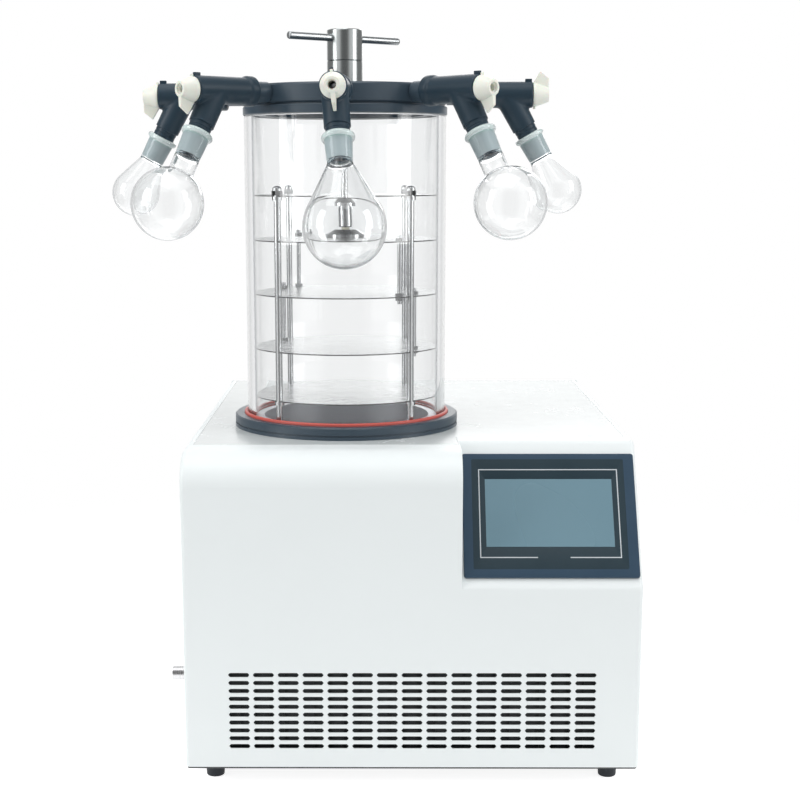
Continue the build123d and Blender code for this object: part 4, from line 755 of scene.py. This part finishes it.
# studio: pale floor, soft boxes, and white surroundings with darker parts for gloss and glass.
# world is the strength of the soft light from all round; clearDark is what glass shows in its darker
# sectors, and clearFrom and clearTo are where the change to white starts and ends on the cosine;
# gloss is a list of places from the back, 0, to the front, 1, each with the strength that metal shows
studio = {
    "world": 0.62, "clearSectors": 8.0, "clearDark": 0.84, "clearFrom": -0.8, "clearTo": -0.1,
    "gloss": [(0.0, 1.0), (0.15, 0.95), (0.23, 0.34), (0.60, 0.3),
              (0.68, 1.0), (0.80, 1.0), (0.89, 0.24), (1.0, 0.2)],
    "floor": (0.86, 0.86, 0.86), "cloud": 3.0, "paler": 1.01, "floorHalf": 2.0, "lift": 0.85,
    "fadeStart": 0.45, "fadeEnd": 1.3, "lampsAim": (0, 0, 0.45),
    "lamps": [
        {"name": "overhead", "at": (-0.3, -0.5, 2.6), "size": (2.2, 1.8), "power": 21.0},
        {"name": "leftBox", "at": (-2.2, -1.0, 1.3), "size": (0.9, 1.8), "power": 20.0},
        {"name": "rightBox", "at": (2.2, -0.9, 1.3), "size": (0.9, 1.8), "power": 20.0},
        {"name": "rearBox", "at": (0.4, 2.4, 1.6), "size": (1.6, 1.4), "power": 12.0},
    ],
}
for lamp in studio["lamps"]:
    light = bpy.data.lights.new(lamp["name"], "AREA")
    light.shape = "RECTANGLE"
    light.size, light.size_y = lamp["size"]
    light.energy = lamp["power"]
    box = bpy.data.objects.new(lamp["name"], light)
    box.location = lamp["at"]
    aim = Vector(studio["lampsAim"]) - Vector(lamp["at"])
    box.rotation_euler = aim.to_track_quat("-Z", "Y").to_euler()
    bpy.context.scene.collection.objects.link(box)

world = bpy.data.worlds.new("studioWorld")
bpy.context.scene.world = world
world.use_nodes = True
tree = world.node_tree
background = tree.nodes["Background"]
path = tree.nodes.new("ShaderNodeLightPath")
direction = tree.nodes.new("ShaderNodeTexCoord")
parts = tree.nodes.new("ShaderNodeSeparateXYZ")
tree.links.new(direction.outputs["Generated"], parts.inputs[0])


def worldMath(operation, *values):
    made = tree.nodes.new("ShaderNodeMath")
    made.operation = operation
    for socket, value in zip(made.inputs, values):
        if isinstance(value, (int, float)):
            socket.default_value = value
        else:
            tree.links.new(value, socket)
    return made.outputs[0]


# round the horizon: what is seen through glass is white in eight sectors with pale grey between
# them, from cos(8 turn), and metal reflects a white back, two white boxes towards the front and
# grey between them
turn = worldMath("ARCTAN2", parts.outputs[0], parts.outputs[1])
clear = tree.nodes.new("ShaderNodeMapRange")
clear.interpolation_type = "SMOOTHSTEP"
for name, value in {"From Min": studio["clearFrom"], "From Max": studio["clearTo"],
                    "To Min": studio["clearDark"], "To Max": 1.0}.items():
    clear.inputs[name].default_value = value
tree.links.new(worldMath("COSINE", worldMath("MULTIPLY", turn, studio["clearSectors"])), clear.inputs["Value"])
gloss = tree.nodes.new("ShaderNodeValToRGB")
elements = gloss.color_ramp.elements
for _ in studio["gloss"][2:]:
    elements.new(0.5)
for element, (position, grey) in zip(elements, studio["gloss"]):
    element.position = position
    element.color = (grey, grey, grey, 1)
tree.links.new(worldMath("DIVIDE", worldMath("ABSOLUTE", turn), pi), gloss.inputs[0])

# a ray that has passed through two skins and turned back once inside a glass wall still counts as
# seen through; every other ray that came off a gloss is a reflection
turnedBack = worldMath("COMPARE", path.outputs["Transmission Depth"], 2.0, 0.5)
bounced = worldMath("MULTIPLY", worldMath("GREATER_THAN", path.outputs["Glossy Depth"], 0.5),
                    worldMath("SUBTRACT", 1.0, turnedBack))
through = worldMath("MULTIPLY", path.outputs["Is Transmission Ray"], worldMath("SUBTRACT", 1.0, bounced))
seen = worldMath("ADD", path.outputs["Is Camera Ray"], worldMath("MULTIPLY", through, clear.outputs[0]))
soft = worldMath("SUBTRACT", 1.0, worldMath(
    "MAXIMUM", bounced, worldMath("MAXIMUM", through, path.outputs["Is Camera Ray"])))
strength = worldMath("ADD", worldMath("MULTIPLY", bounced, gloss.outputs[0]),
                     worldMath("MULTIPLY", soft, studio["world"]))
tree.links.new(worldMath("ADD", seen, strength), background.inputs["Strength"])
background.inputs["Color"].default_value = (1, 1, 1, 1)

# the floor glows white for everything but diffuse light, and fades out before its edge
far = studio["floorHalf"]
floorMesh = bpy.data.meshes.new("floor")
floorMesh.from_pydata([(-far, -far, 0), (far, -far, 0), (far, far, 0), (-far, far, 0)], [], [(0, 1, 2, 3)])
floor = bpy.data.objects.new("floor", floorMesh)
bpy.context.scene.collection.objects.link(floor)
floorFinish = Finish("paleFloor", Roughness=0.9, Emission_Strength=1.0)
palerFloor = tuple(part * studio["paler"] for part in studio["floor"])
cloudy = floorFinish.blend(floorFinish.noise(studio["cloud"]), studio["floor"], palerFloor)
shown = 1.0 - floorFinish.node("ShaderNodeLightPath", {}, {}, "Is Diffuse Ray")
fade = floorFinish.node("ShaderNodeMapRange", {"interpolation_type": "SMOOTHSTEP"}, {
    "Value": floorFinish.radiusFrom((0, 0)), "From Min": studio["fadeStart"],
    "From Max": studio["fadeEnd"]})
glow = shown * (fade * (1.0 - studio["lift"]) + studio["lift"])
floorFinish.wire(Base_Color=cloudy, Alpha=1.0 - fade,
                 Emission_Color=floorFinish.blend(glow, (0.0, 0.0, 0.0), (1.0, 1.0, 1.0)))
floor.data.materials.append(floorFinish.material)
print("studio ready")

# camera: degrees, with yaw to the left below zero
view = {
    "at": (0.0144, -1.8247, 0.6438), "pitch": 10.0, "yaw": -0.58, "roll": 0.14, "lens": 69.75,
    "shift": (0.0437, 0.0580), "sensor": 36.0, "nearest": 0.05, "farthest": 60.0,
}
pitch, yaw, roll = (radians(view[key]) for key in ("pitch", "yaw", "roll"))
forward = Vector((sin(yaw) * cos(pitch), cos(yaw) * cos(pitch), -sin(pitch)))
level = Vector((cos(yaw), -sin(yaw), 0))
down = forward.cross(level)
rightwards = level * cos(roll) + down * sin(roll)
upwards = -(down * cos(roll) - level * sin(roll))
cameraData = bpy.data.cameras.new("camera")
cameraData.lens = view["lens"]
cameraData.sensor_width = view["sensor"]
cameraData.shift_x, cameraData.shift_y = view["shift"]
cameraData.clip_start = view["nearest"]
cameraData.clip_end = view["farthest"]
camera = bpy.data.objects.new("camera", cameraData)
cameraTurn = Matrix((rightwards, upwards, -forward)).transposed().to_4x4()
camera.matrix_world = Matrix.Translation(view["at"]) @ cameraTurn
bpy.context.scene.collection.objects.link(camera)
bpy.context.scene.camera = camera
bpy.context.scene.view_settings.view_transform = "Standard"
